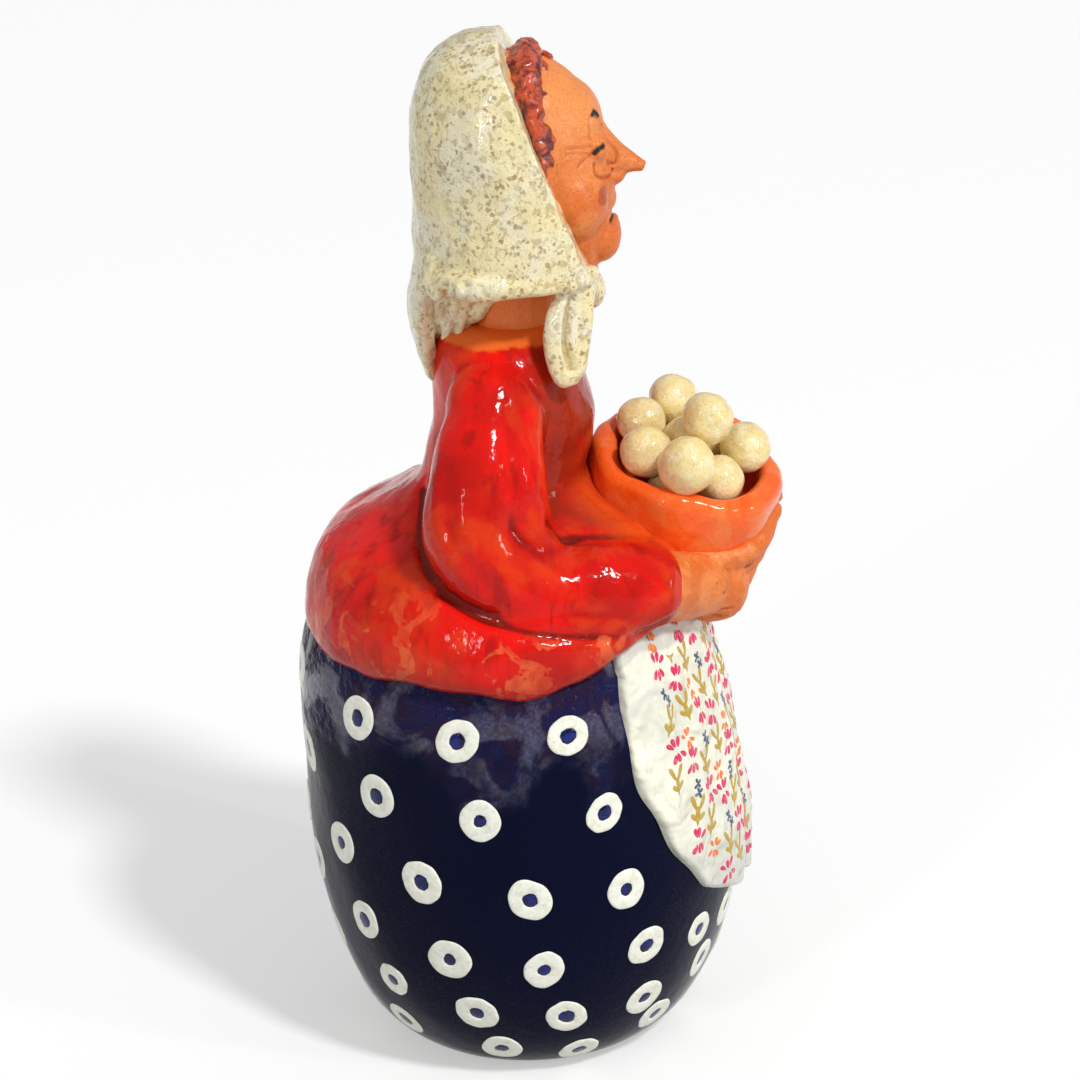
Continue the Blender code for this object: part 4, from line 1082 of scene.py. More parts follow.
# Creases of the palm: degrees from the front where each starts, and its share of the bowl's depth.
PALM_CREASES = [(72, 0.78), (66, 0.86), (78, 0.60), (70, 0.50), (64, 0.55)]


def on_bowl(turn, depth, out):
    """A point this far outside the bowl. The turn is from its front towards her left."""
    radius = bowl_radius_at(depth) + out
    local = Vector((radius * math.sin(turn), -radius * math.cos(turn), -depth))
    return bowl_frame() @ local


def hand(side):
    """Palm and four fingers wrapped round the bowl from the cuff to the middle of its front."""
    thick, wide = FINGER_RADIUS, CUFF_RADIUS
    palm = on_bowl(side * math.radians(62), 0.72 * BOWL_DEPTH, 0.1 * thick)
    cuff = cuff_centre(side)
    wrist = [cuff, cuff.lerp(palm, 0.6), palm]
    forms = [
        ball(palm, (0.71 * wide, 0.87 * wide, 0.90 * wide)),
        coil(wrist, [0.80 * wide, 0.80 * wide, 0.71 * wide]),
    ]
    for finger in range(4):
        depth = (0.44 + 0.16 * finger) * BOWL_DEPTH
        reach = math.radians(9 + 5 * finger)
        start = on_bowl(side * math.radians(80), depth + 0.6 * thick, 0)
        middle = on_bowl(side * math.radians(44), depth, 0.12 * thick)
        end = on_bowl(side * reach, depth + (0.15 * finger - 1.1) * thick, -0.12 * thick)
        forms.append(coil([start, middle, end], [thick, 0.86 * thick, 0.62 * thick]))
        forms.append(ball(end, (0.64 * thick,) * 3))
        forms.append(ball(middle, (0.92 * thick,) * 3))
    return forms


def bare_clay_finish(name, roughness):
    """Terracotta left bare: painted darker in its creases as shade, with a fine grain."""
    made, tree, surface = finish_named(name, roughness, shine=0.35)
    colour = blended(tree, patches(tree, 0.007, 0.35, 0.4, strength=0.5), BARE_CLAY, BARE_LIGHT)
    # Painted shade in the creases and the cut lines.
    creased = eased(tree, marked(tree, "ridge"), 0.46, 0.10, 0, 0.85)
    colour = blended(tree, creased, colour, BARE_SHADE)
    grain = patches(tree, 0.0005, 0.1, 0.2, strength=0.22)
    colour = blended(tree, grain, colour, BARE_SHADE)
    hand_pressed(tree, surface, size=0.003, pits=0.6, depth=0.0003)
    return made, tree, surface, colour


bare, tree, surface, colour = bare_clay_finish("bare_clay", roughness=0.42)
coloured(tree, surface, colour)
for name, side in (("hand_right", -1), ("hand_left", 1)):
    piece = smeared(name, hand(side), bare, grain=0.00042, softness=9)
    thumbed(piece, size=0.006, depth=0.00035, seed=20 + side)
    thumbed(piece, size=0.0016, depth=0.00008, seed=24 + side)
    lines = []
    for finger in range(3):
        depth = (0.57 + 0.14 * finger) * BOWL_DEPTH
        turns = [side * math.radians(degrees) for degrees in (62 - 6 * finger, 44, 24)]
        lines.append([on_bowl(turn, depth + k * 0.0006, 0.0030) for k, turn in enumerate(turns)])
    for start, depth in PALM_CREASES:
        turns = [side * math.radians(start - step) for step in (0, 7, 14)]
        lines.append([on_bowl(turn, depth * BOWL_DEPTH, 0.0078) for turn in turns])
    tooled(piece, lines, width=0.00050, depth=0.00040)
    mark_ridges(piece, rounds=10, height=0.00022)
    stands_for(piece, "fired_clay", "figure")


# Eggs. Balls rolled by hand and glazed cream before they are heaped in the bowl, where the glaze
# runs together and holds them. No two are quite round.
EGG_CREAM = (0.92, 0.73, 0.32, 1)
EGG_TAN = (0.70, 0.46, 0.16, 1)
EGG_PALE = (0.97, 0.85, 0.50, 1)
EGG_COUNT = 12

shell, tree, surface = finish_named("egg_cream_glaze", roughness=0.20, coat=0.3)
colour = blended(tree, patches(tree, 0.004, 0.35, 0.4), EGG_CREAM, EGG_PALE)
tan = patches(tree, 0.0030, 0.25, 0.25, strength=0.30)
coloured(tree, surface, blended(tree, tan, colour, EGG_TAN))
hand_pressed(tree, surface, size=0.003, pits=0.4, depth=0.00035)

for number in range(1, EGG_COUNT + 1):
    low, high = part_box(f"egg_{number}")
    middle = (Vector(low) + Vector(high)) / 2
    half = (Vector(high) - Vector(low)) / 2
    form = bmesh.new()
    bmesh.ops.create_icosphere(form, subdivisions=5, radius=1)
    mesh = bpy.data.meshes.new(f"rolled_egg_{number}")
    form.to_mesh(mesh)
    form.free()
    mesh.shade_smooth()
    egg = object_from(f"rolled_egg_{number}", mesh, shell)
    points, facing = skin_of(egg)
    lumps = 1.04 + 0.06 * bumps(points, 1.3, 30 + number) + 0.022 * bumps(points, 0.5, 50 + number)
    reshape_skin(egg, points * lumps[:, None] * np.array(half) + np.array(middle))
    stands_for(egg, "egg_glaze", f"egg_{number}")


# Neck and head. A pinched lump of bare clay, with a long nose drawn out to a point. Eyes, bags and
# crow's feet are cut in with a needle, and brows, pupils and mouth are touched with dark slip.
NECK_LENGTH = 0.009
HEAD_HALF_WIDTH = 0.0178
HEAD_HALF_DEPTH = 0.0205
HEAD_HALF_HEIGHT = 0.0260
NOSE_LENGTH = 0.0070
DARK_SLIP = (0.018, 0.010, 0.008, 1)
NECK_PAINTED_LIGHT = (0.95, 0.24, 0.050, 1)
# Painted light for the neck, which lies in the kerchief's shadow.
BLUSH = (0.45, 0.060, 0.010, 1)
BLUSH_SPREAD = np.array([0.5, 0.7, 1.0])
BLUSH_RADIUS = 0.0013
# Strokes in millimetres forward and up, as seen from her side: the brow, the lid and the bag under
# the eye are cut deep, and the crow's feet lightly. Slip is touched on some again.
FACE_CUTS = [
    [(19.9, 217.3), (20.1, 220.6), (20.8, 222.4), (22.0, 221.3), (23.0, 218.8), (23.9, 216.4)],
    [(23.9, 216.4), (25.2, 214.7), (25.6, 212.8), (25.0, 211.2), (23.6, 211.7)],
    [(20.7, 211.1), (21.2, 208.9), (22.7, 208.2), (24.2, 208.6), (24.5, 210.0)],
]
FACE_WRINKLES = [
    [(14.8, 214.8), (17.5, 214.9), (19.8, 215.3)],
    [(19.9, 213.1), (18.6, 212.2), (17.3, 210.7)],
    [(14.8, 213.6), (17.5, 213.8), (19.7, 213.4)],
]
EYE_SOCKET = [(20.8, 213.9), (21.6, 214.6), (23.0, 215.5)]
BROW_STROKE = [(20.6, 222.6), (21.2, 223.0), (21.9, 222.4)]
EYE_STROKE = [(20.9, 213.9), (21.6, 214.5), (22.8, 215.4)]
CHEEK_SPOT = [(22.7, 205.0), (22.7, 203.4)]
# As seen from in front: millimetres to her left and up.
MOUTH = [(-4.4, 197.0), (-2.2, 197.6), (0, 197.8), (2.2, 197.6), (4.4, 197.0)]


def head_centre():
    """The middle of the skull, a neck's length and half a head above the neckline."""
    return at(0, HEAD_FORWARD, NECKLINE_HEIGHT + NECK_LENGTH + HEAD_HALF_HEIGHT)


def in_head(side, forward, up):
    """A point of the head, given in shares of its half width, half depth and half height."""
    offset = at(side * HEAD_HALF_WIDTH, forward * HEAD_HALF_DEPTH, up * HEAD_HALF_HEIGHT)
    return head_centre() + offset


def head_lumps():
    """Skull, brow, cheeks, jaw, chin, lips, lids and the nose drawn out to a point, on the neck."""
    width, depth, height = HEAD_HALF_WIDTH, HEAD_HALF_DEPTH, HEAD_HALF_HEIGHT
    forms = [
        ball(in_head(0, -0.07, 0.04), (width, depth, 0.93 * height)),
        ball(in_head(0, 0.39, 0.35), (0.72 * width, 0.54 * depth, 0.39 * height)),
        ball(in_head(0, 0.29, -0.15), (0.90 * width, 0.73 * depth, 0.84 * height)),
        ball(in_head(0, 0.42, -0.50), (0.72 * width, 0.56 * depth, 0.46 * height)),
        ball(in_head(0, 0.44, -0.64), (0.62 * width, 0.50 * depth, 0.42 * height)),
        ball(in_head(0, 0.81, -0.64), (0.42 * width, 0.33 * width, 0.36 * width)),
        ball(in_head(0, 0.91, -0.33), (0.30 * width, 0.14 * width, 0.16 * width)),
        ball(in_head(0, 1.00, -0.115), (0.19 * width, 0.17 * width, 0.14 * width)),
    ]
    tip = in_head(0, 1, -0.070) + at(0, 1.03 * NOSE_LENGTH, 0)
    cone = [in_head(0, 0.66, 0.20), in_head(0, 0.98, 0.035), tip]
    forms.append(coil(cone, [0.38 * width, 0.235 * width, 0.065 * width]))
    for side in (-1, 1):
        cheek = in_head(side * 0.44, 0.58, -0.26)
        forms.append(ball(cheek, (0.46 * width, 0.42 * width, 0.52 * width)))
        lid = in_head(side * 0.40, 0.84, 0.17)
        forms.append(ball(lid, (0.19 * width, 0.14 * width, 0.17 * width)))
    neck_foot = at(0, HEAD_FORWARD - 0.13 * NECK_RADIUS, SHOULDER_HEIGHT)
    forms.append(coil([neck_foot, in_head(0, -0.05, -0.60)], [NECK_RADIUS, NECK_RADIUS]))
    return forms


def in_front(made, marks):
    """Places on the skin as seen from in front, by millimetres to her left and above the foot."""
    tree = BVHTree.FromObject(made, bpy.context.evaluated_depsgraph_get())
    found = []
    for side, height in marks:
        hit = tree.ray_cast(at(side / 1000, 0.08, height / 1000), Vector((0, 1, 0)))[0]
        if hit:
            found.append(np.array(hit))
    return found


head = smeared("head", head_lumps(), None, grain=0.00036, softness=16)
thumbed(head, size=0.009, depth=0.0003, seed=40)
sides = (-1, 1)
cuts = [beside(head, side, stroke) for side in sides for stroke in FACE_CUTS]
wrinkles = [beside(head, side, stroke) for side in sides for stroke in FACE_WRINKLES]
tooled(head, cuts, width=0.00045, depth=0.00050, burr=0.35)
tooled(head, wrinkles, width=0.00045, depth=0.00032)
tooled(head, [in_front(head, MOUTH)], width=0.00055, depth=0.0006)
tooled(head, [beside(head, side, EYE_SOCKET) for side in sides], width=0.0008, depth=0.0004)
thumbed(head, size=0.002, depth=0.00005, seed=41)

points, facing = skin_of(head)
ink = np.zeros(len(points))
blush = np.zeros(len(points))
for side in sides:
    brow = beside(head, side, BROW_STROKE)
    eye = beside(head, side, EYE_STROKE)
    lips = in_front(head, [(0, 197.8), (side * 1.8, 197.6), (side * 3.4, 197.3)])
    for stroke, width in ((brow, 0.00080), (eye, 0.00065), (lips, 0.00055)):
        ink = np.maximum(ink, np.clip(3 - 2.6 * distance_to(points, stroke) / width, 0, 1))
    spot = [place * BLUSH_SPREAD for place in beside(head, side, CHEEK_SPOT)]
    away = distance_to(points * BLUSH_SPREAD, spot) / BLUSH_RADIUS
    blush = np.maximum(blush, np.clip(4 - 3.4 * away, 0, 1))
mark(head, "ink", ink)
mark(head, "blush", blush)
mark_ridges(head, rounds=12, height=0.00022)

skin_clay, tree, surface, colour = bare_clay_finish("face_clay", roughness=0.40)
height = height_in(tree)
# Painted light: the neck, in the kerchief's shadow, is painted a brighter orange, and the upper face and
# crown a lighter one, as if lit from above.
colour = blended(tree, eased(tree, height, 0.198, 0.180, 0, 0.6), colour, NECK_PAINTED_LIGHT)
colour = blended(tree, eased(tree, height, 0.203, 0.226, 0, 0.75), colour, BARE_LIGHT)
colour = blended(tree, times(tree, marked(tree, "blush"), 0.85), colour, BLUSH)
coloured(tree, surface, blended(tree, marked(tree, "ink"), colour, DARK_SLIP))
head.data.materials.append(skin_clay)
stands_for(head, "fired_clay", "figure")


# Kerchief. A slab of clay laid over the head, drawn in round the nape, where its point hangs down,
# and tied under the chin with two leaf-shaped ends. Its cream glaze is thick with tan speckles.
KERCHIEF_THICKNESS = 0.0038
KERCHIEF_SLANT = math.radians(19.8)
KERCHIEF_TAIL_LENGTH = 0.031
TIE_RADIUS = 0.0027
CREAM = (0.90, 0.77, 0.42, 1)
PALE_CREAM = (0.90, 0.82, 0.58, 1)
TAN_SPECKLE_AND_SHADE = (0.46, 0.33, 0.13, 1)
BROWN_SPECKLE = (0.28, 0.17, 0.07, 1)
# Each leaf of the tie is three coils side by side: millimetres aside, forward and up, and the radius.
TIE_LEAF = [
    [
        (15.6, 16.6, 186.0, 1.7), (17.2, 12.8, 183.0, 2.1), (18.6, 11.0, 178.5, 2.2),
        (19.3, 10.9, 172.0, 2.2), (19.3, 12.4, 166.6, 2.1), (19.0, 13.6, 164.6, 1.3),
    ],
    [
        (14.4, 17.6, 186.0, 1.9), (16.0, 14.9, 180.0, 2.1), (17.3, 14.3, 173.0, 2.1),
        (18.0, 14.3, 167.0, 2.0), (18.2, 14.5, 164.4, 1.4),
    ],
    [
        (13.6, 18.4, 186.0, 1.9), (15.4, 17.7, 180.0, 2.3), (16.8, 17.1, 173.5, 2.1),
        (17.4, 16.0, 168.0, 1.8), (17.7, 15.2, 165.4, 1.1),
    ],
]
GATHERS_RIM = [
    (7.0, -7.6, 176.4, 1.7), (8.6, -5.8, 178.6, 2.1), (9.6, -4.0, 180.8, 1.5),
    (10.4, -3.0, 182.8, 2.0), (11.2, -2.2, 185.5, 1.8),
]
SLAB_CORNER = (0.0150, -0.0138, 0.1862)
CORNER_RADII = (0.0030, 0.0032, 0.0028)
# The slab's rolled edge: degrees from her front, share of the height below the head's middle,
# millimetres that it sags out, and the radius in millimetres.
HEM_ROLL = [
    (172, 0.72, 0, 1.4), (140, 0.72, 0.8, 2.7), (116, 0.735, 1.7, 3.4),
    (90, 0.73, 0.3, 2.4), (60, 0.735, 0.1, 2.1), (38, 0.72, -0.9, 1.4),
]
# Pleats and folds in millimetres forward and up, as seen from her side.
NAPE_PLEATS = [[(-8, 186), (-9.5, 180), (-12, 174)], [(-12.5, 186), (-13.5, 179), (-15, 172)]]
LEAF_FOLD = [(15.0, 184), (13.6, 179), (13.4, 173), (14.8, 168)]


def kerchief_edge(share):
    """A point of the kerchief's front edge in her middle plane, from chin (0) to crown (1)."""
    crown = head_centre() + at(0, -0.95 * KERCHIEF_THICKNESS, HEAD_HALF_HEIGHT + KERCHIEF_THICKNESS)
    drop = 2 * HEAD_HALF_HEIGHT + KERCHIEF_THICKNESS
    chin = crown + at(0, drop * math.tan(KERCHIEF_SLANT), -drop)
    return chin.lerp(crown, share)


def kerchief_hood():
    """The slab over the head, lofted whole and then trimmed along its slanting front edge."""
    centre = head_centre()
    wide = HEAD_HALF_WIDTH + KERCHIEF_THICKNESS
    deep = HEAD_HALF_DEPTH + KERCHIEF_THICKNESS
    tall = HEAD_HALF_HEIGHT + KERCHIEF_THICKNESS
    # Each section: shares of the width, the depth, the thickness (how far forward) and the height.
    sections = [
        (0.88, 0.86, 0.00, -0.79),
        (1.04, 0.99, 0.08, -0.75),
        (1.08, 1.00, 0.08, -0.66),
        (1.07, 0.99, 0.05, -0.44),
        (1.05, 0.98, 0.00, 0.00),
        (1.00, 0.95, -0.05, 0.42),
        (0.80, 0.77, -0.16, 0.78),
        (0.48, 0.46, -0.21, 0.95),
        (0.05, 0.05, -0.21, 1.00),
    ]
    rows = []
    for across, along, ahead, up in smooth_through(sections, 6):
        middle = HEAD_FORWARD + ahead * KERCHIEF_THICKNESS
        wave = 0.16 * KERCHIEF_THICKNESS * (1 - up)
        rows.append(oval(across * wide, along * deep, middle, centre.z + up * tall, 120, wave, 3))
    hood = skinned("hood", np.array(rows))
    form = bmesh.new()
    form.from_mesh(hood.data)
    edge = kerchief_edge(1) - kerchief_edge(0)
    outward = Vector((0, -edge.z, edge.y)).normalized()
    cut = bmesh.ops.bisect_plane(
        form,
        geom=form.verts[:] + form.edges[:] + form.faces[:],
        plane_co=kerchief_edge(0),
        plane_no=outward,
        clear_outer=True,
    )
    rim = [part for part in cut["geom_cut"] if isinstance(part, bmesh.types.BMEdge)]
    bmesh.ops.holes_fill(form, edges=rim, sides=0)
    form.to_mesh(hood.data)
    form.free()
    return hood


def kerchief_tail():
    """The point of the kerchief, which hangs down her back from the gathers at the nape."""
    nape = head_centre().z - 0.9 * HEAD_HALF_HEIGHT
    back = HEAD_FORWARD - HEAD_HALF_DEPTH - 0.8 * KERCHIEF_THICKNESS
    thick = KERCHIEF_THICKNESS
    # Each section: thicknesses across, deep and forward, and the share of the tail's length down.
    sections = [
        (0.5, 0.30, 1.1, 1.00),
        (1.75, 0.63, 0.7, 0.88),
        (2.9, 0.80, 0.37, 0.58),
        (3.8, 0.90, 0.37, 0.26),
        (4.2, 1.10, 1.3, -0.10),
    ]
    rows = []
    for wide, deep, ahead, drop in smooth_through(sections, 6):
        height = nape + thick - drop * KERCHIEF_TAIL_LENGTH
        rows.append(oval(wide * thick, deep * thick, back + ahead * thick, height, 72))
    return skinned("tail", np.array(rows))


def kerchief_gathers():
    """The cloth drawn in round the back of the neck, down to the blouse."""
    top = head_centre().z - 0.84 * HEAD_HALF_HEIGHT
    neck = NECK_RADIUS
    middle = (NECKLINE_HEIGHT + top) / 2
    # Each section: half width, half depth, how far its centre lies forward, height.
    sections = [
        (0.80 * neck, 0.42 * neck, HEAD_FORWARD - 1.43 * neck, NECKLINE_HEIGHT - 0.25 * neck),
        (1.12 * neck, 0.62 * neck, HEAD_FORWARD - 1.30 * neck, middle - 0.0010),
        (0.93 * HEAD_HALF_WIDTH, 0.74 * neck, HEAD_FORWARD - 1.22 * neck, top),
    ]
    rows = []
    for half_width, half_depth, forward, height in smooth_through(sections, 8):
        row = oval(half_width, half_depth, forward, height, 144)
        turn = full_turn(144)
        pleat = 1 + 0.05 * np.sin(13 * turn + 2 * np.sin(3 * turn) + 90 * height)
        row[:, 0] *= pleat
        row[:, 1] = (row[:, 1] + forward) * pleat - forward
        rows.append(row)
    return skinned("gathers", np.array(rows))


def kerchief_knot():
    """The middle of the knot, under the chin."""
    return at(0, HEAD_FORWARD + 0.73 * HEAD_HALF_DEPTH, NECKLINE_HEIGHT + 0.55 * NECK_LENGTH)


def coil_by_mm(side, marks):
    """A coil through places in millimetres aside, forward and up, each with its radius."""
    places = [at(side * a / 1000, b / 1000, c / 1000) for a, b, c, _ in marks]
    return coil(places, [size / 1000 for *_, size in marks])


def kerchief_ties():
    """The knot, and on each side a band under the jaw and a leaf-shaped end, folded at the top.
    The ragged rim of the gathers and the corner of the slab over them go with them."""
    knot = kerchief_knot()
    thick, cloth = TIE_RADIUS, KERCHIEF_THICKNESS
    forms = [ball(knot, (1.7 * thick, 1.33 * thick, 1.55 * thick))]
    for side in (-1, 1):
        corner = kerchief_edge(0.07) + at(side * 0.74 * HEAD_HALF_WIDTH, -0.7 * cloth, 0)
        forms.append(coil([corner, corner.lerp(knot, 0.6), knot], [0.8 * cloth, 0.75 * cloth, 0.7 * cloth]))
        forms += [coil_by_mm(side, marks) for marks in TIE_LEAF + [GATHERS_RIM]]
        aside, ahead, height = SLAB_CORNER
        forms.append(ball(at(side * aside, ahead, height), CORNER_RADII))
    return forms


def kerchief_hem():
    """The lower edge of the slab, rolled under, which sags out at the back on each side."""
    centre = head_centre()
    forms = []
    for side in (-1, 1):
        stroke = []
        for degrees, drop, out, _ in HEM_ROLL:
            turn = math.radians(degrees)
            wide = HEAD_HALF_WIDTH + KERCHIEF_THICKNESS + 0.001 * out
            deep = (HEAD_HALF_DEPTH + KERCHIEF_THICKNESS) * 0.90 + 0.001 * out
            height = centre.z - drop * (HEAD_HALF_HEIGHT + KERCHIEF_THICKNESS)
            stroke.append(at(side * wide * math.sin(turn), HEAD_FORWARD + deep * math.cos(turn), height))
        forms.append(coil(stroke, [size / 1000 for *_, size in HEM_ROLL]))
    return forms


speckles, given, giving = effect("speckles", {"Size": 0.002, "Cover": 0.4}, ["Mask"])
shape = place_in(speckles)
ragged = wired(speckles, "ShaderNodeTexNoise", {"Vector": shape, "Scale": 1400.0, "Detail": 2.0})
inputs = {0: ragged.outputs["Color"], 1: (0.0012, 0.0012, 0.0012)}
shift = wired(speckles, "ShaderNodeVectorMath", inputs, operation="MULTIPLY").outputs[0]
shape = wired(speckles, "ShaderNodeVectorMath", {0: shape, 1: shift}, operation="ADD").outputs[0]
inputs = {"Vector": shape, "Scale": combined(speckles, "DIVIDE", 1.0, given["Size"])}
cells = wired(speckles, "ShaderNodeTexVoronoi", inputs)
chance = wired(speckles, "ShaderNodeSeparateColor", {0: cells.outputs["Color"]}).outputs[0]
reach = times(speckles, chance, given["Cover"])
mask = eased(speckles, cells.outputs["Distance"], reach, times(speckles, reach, 0.65))
speckles.links.new(mask, giving["Mask"])

cream, tree, surface = finish_named("speckled_cream_glaze", roughness=0.14, shine=0.4, coat=0.2)
ridge = marked(tree, "ridge")
colour = blended(tree, patches(tree, 0.011, 0.35, 0.42), CREAM, PALE_CREAM)
where = eased(tree, clouds(tree, 0.008, detail=2.0), 0.25, 0.50)
tan = times(tree, patches(tree, 0.0019, 0.12, 0.32), where)
colour = blended(tree, times(tree, tan, 0.55), colour, TAN_SPECKLE_AND_SHADE)
brown = times(tree, placed(tree, speckles, Size=0.0013, Cover=0.55), where)
colour = blended(tree, times(tree, brown, 0.65), colour, BROWN_SPECKLE)
# Painted light: paler on the ridges as a painted highlight, and tan in the creases as painted shade.
colour = blended(tree, eased(tree, ridge, 0.72, 0.95, 0, 0.7), colour, PALE_CREAM)
coloured(tree, surface, blended(tree, eased(tree, ridge, 0.3, 0.05, 0, 0.6), colour, TAN_SPECKLE_AND_SHADE))
hand_pressed(tree, surface, size=0.003, pits=0.5, depth=0.00030)

forms = [kerchief_hood(), kerchief_tail(), kerchief_gathers(), *kerchief_ties(), *kerchief_hem()]
kerchief = smeared("kerchief", forms, cream, grain=0.0006, softness=3)
thumbed(kerchief, size=0.010, depth=0.00045, seed=60)
thumbed(kerchief, size=0.0035, depth=0.00016, seed=61)
pleats = []
for side in (-1, 1):
    pleats += [beside(kerchief, side, pleat, 0.012) for pleat in NAPE_PLEATS]
    pleats.append(beside(kerchief, side, LEAF_FOLD, 0.018))
tooled(kerchief, pleats, width=0.0009, depth=0.0009, burr=0.4)
mark_ridges(kerchief, rounds=10, height=0.00035)
stands_for(kerchief, "cream_glaze", "figure")


# Hair. Ragged curls of clay pressed on in an arch along the kerchief's edge, combed with a needle
# and drenched in a dark red-brown glaze that shines. Its grooves are painted darker, partly as shade.
HAIR_RADIUS = 0.0036
HAIR_STRANDS = 72
HAIR_SPREAD = 78
HAIR_RED = (0.70, 0.090, 0.024, 1)
HAIR_DARK = (0.16, 0.010, 0.004, 1)
HAIR_BRIGHT = (0.84, 0.19, 0.06, 1)

edge_way = (kerchief_edge(1) - kerchief_edge(0)).normalized()
hair_ahead = Vector((0, -edge_way.z, edge_way.y)).normalized()
hair_middle = kerchief_edge(1) - edge_way * (HEAD_HALF_HEIGHT + 1.28 * HAIR_RADIUS)


def in_hair(turn, out, ahead):
    """A place in the arch: degrees from the crown, metres outside it and in front of the edge."""
    turn = math.radians(turn)
    side = math.sin(turn) * (HEAD_HALF_WIDTH - 0.28 * HAIR_RADIUS + out)
    up = math.cos(turn) * (HEAD_HALF_HEIGHT - 0.33 * HAIR_RADIUS + out)
    return hair_middle + at(side, 0, 0) + edge_way * up + hair_ahead * ahead


comb = random.Random(5)
forms = []
turns = range(-HAIR_SPREAD, HAIR_SPREAD + 1, 12)
crowns = [math.cos(math.radians(turn)) for turn in turns]
spine = [in_hair(turn, -0.0020 * up**2, 0.0010 + 0.0028 * up**2) for turn, up in zip(turns, crowns)]
sizes = [HAIR_RADIUS * (0.42 + 0.55 * up) for up in crowns]
forms.append(coil(spine, sizes))
for _ in range(HAIR_STRANDS):
    middle = comb.uniform(-HAIR_SPREAD, HAIR_SPREAD)
    thin = 0.22 + 0.78 * math.cos(math.radians(middle))
    span = comb.uniform(7, 15)
    ahead = comb.uniform(-0.0010, 0.0068) * thin**1.3
    out = comb.uniform(-0.0010, 0.0008) * thin
    slope = comb.uniform(-0.0024, 0.0024)
    stroke = []
    for k in (-1, -0.4, 0.3, 1):
        bend = 0.0006 * math.sin(3 * k + middle)
        reach = ahead + slope * thin * k
        stroke.append(in_hair(middle + span * k, out + bend - 0.55 * max(reach, 0), reach))
    size = comb.uniform(0.0008, 0.0016) * (0.45 + 0.55 * thin)
    forms.append(coil(stroke, [0.5 * size, size, size, 0.4 * size]))
glossy_hair, tree, surface = finish_named("hair_glaze", roughness=0.10, coat=0.4)
ridge = marked(tree, "ridge")
colour = blended(tree, patches(tree, 0.003, 0.3, 0.45), HAIR_RED, HAIR_DARK)
# Darker in the grooves: glaze pooled there, deepened with painted shade.
colour = blended(tree, eased(tree, ridge, 0.5, 0.25), colour, HAIR_DARK)
bright = times(tree, eased(tree, ridge, 0.6, 0.95), patches(tree, 0.004, 0.25, 0.5))
coloured(tree, surface, blended(tree, bright, colour, HAIR_BRIGHT))
hand_pressed(tree, surface, size=0.0013, pits=0.3, depth=0.0006)
hair = smeared("hair", forms, glossy_hair, grain=0.0004, softness=1)
thumbed(hair, size=0.0022, depth=0.00045, seed=70)
thumbed(hair, size=0.0010, depth=0.00016, seed=71)
mark_ridges(hair, rounds=7, height=0.00030)
stands_for(hair, "hair_glaze", "figure")


# Studio. A pale floor, soft light from the world, and lamps above her that leave crisp highlights
# on the glaze. The camera looks at her right side from a little above.
FLOOR_HALF = 12.0
CAMERA_TURN = math.radians(-88)
CAMERA_RISE = math.radians(22.5)
CAMERA_DISTANCE = 0.78
CAMERA_ROLL = math.radians(-2.2)
CAMERA_LENS = 113.0
FRAME_OFFSET = (0.0055, 0.0020)
FLOOR_GREY = (0.60, 0.60, 0.60, 1)
FLOOR_GLOW = (0.44, 0.435, 0.425, 1)
BLACK = (0, 0, 0, 1)
SKY = (0.93, 0.96, 1.0, 1)
SKY_STRENGTH = 0.42
LAMP_AIM = (0, 0, 0.12)
CAMERA_AIM = (0, 0, 0.118)

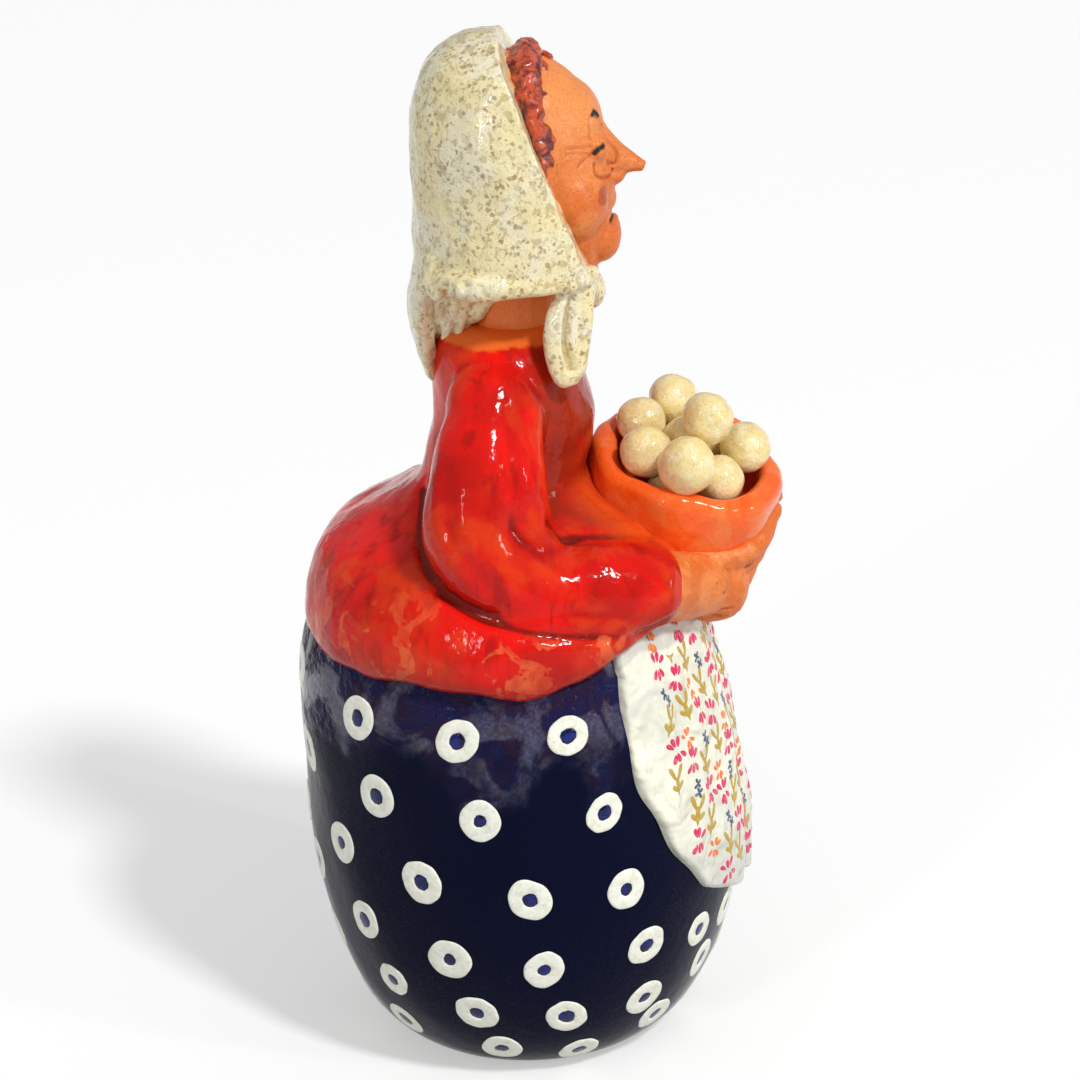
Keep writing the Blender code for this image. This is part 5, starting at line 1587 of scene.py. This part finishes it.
floor_mesh = bpy.data.meshes.new("floor")
corners = [(FLOOR_HALF * x, FLOOR_HALF * y, 0) for x, y in ((-1, -1), (1, -1), (1, 1), (-1, 1))]
floor_mesh.from_pydata(corners, [], [(0, 1, 2, 3)])
pale_floor, tree, surface = finish_named("pale_floor", roughness=0.9, shine=0.1)
surface.inputs["Base Color"].default_value = FLOOR_GREY
seen = wired(tree, "ShaderNodeLightPath")
seen_plain = combined(tree, "MAXIMUM", seen.outputs["Is Camera Ray"], seen.outputs["Is Glossy Ray"])
seen_plain = combined(tree, "MAXIMUM", seen_plain, seen.outputs["Is Transmission Ray"])
tree.links.new(blended(tree, seen_plain, BLACK, FLOOR_GLOW), surface.inputs["Emission Color"])
surface.inputs["Emission Strength"].default_value = 1.0
floor = object_from("floor", floor_mesh, pale_floor)

world = bpy.data.worlds.new("studio")
bpy.context.scene.world = world
world.use_nodes = True
sky = world.node_tree.nodes["Background"]
sky.inputs[0].default_value = SKY
sky.inputs[1].default_value = SKY_STRENGTH


def lamp(name, kind, place, strength, **sizes):
    """A lamp turned towards the middle of the figure."""
    data = bpy.data.lights.new(name, kind)
    data.energy = strength
    for label, value in sizes.items():
        setattr(data, label, value)
    made = bpy.data.objects.new(name, data)
    made.location = place
    made.rotation_euler = (Vector(LAMP_AIM) - Vector(place)).to_track_quat("-Z", "Y").to_euler()
    bpy.context.scene.collection.objects.link(made)


lamp("key", "SUN", (-0.45, -0.42, 0.85), 1.85, angle=math.radians(7))
lamp("side", "AREA", (-0.85, 0.50, 0.55), 1.5, shape="RECTANGLE", size=0.035, size_y=0.32)
lamp("front", "AREA", (-0.45, -0.90, 0.45), 2.0, shape="RECTANGLE", size=0.05, size_y=0.32)

level = math.cos(CAMERA_RISE)
toward = Vector((math.sin(CAMERA_TURN) * level, -math.cos(CAMERA_TURN) * level, math.sin(CAMERA_RISE)))
facing_her = (-toward).to_track_quat("-Z", "Y").to_matrix().to_4x4()
look = facing_her @ Matrix.Rotation(CAMERA_ROLL, 4, "Z")
aside = look.to_3x3() @ Vector((*FRAME_OFFSET, 0))
place = Vector(CAMERA_AIM) + aside + toward * CAMERA_DISTANCE
camera_data = bpy.data.cameras.new("camera")
camera_data.lens = CAMERA_LENS
camera_data.sensor_width = 36
camera_data.clip_start = 0.01
camera = bpy.data.objects.new("camera", camera_data)
camera.matrix_world = Matrix.Translation(place) @ look
bpy.context.scene.collection.objects.link(camera)
bpy.context.scene.camera = camera
bpy.context.scene.view_settings.view_transform = "Standard"
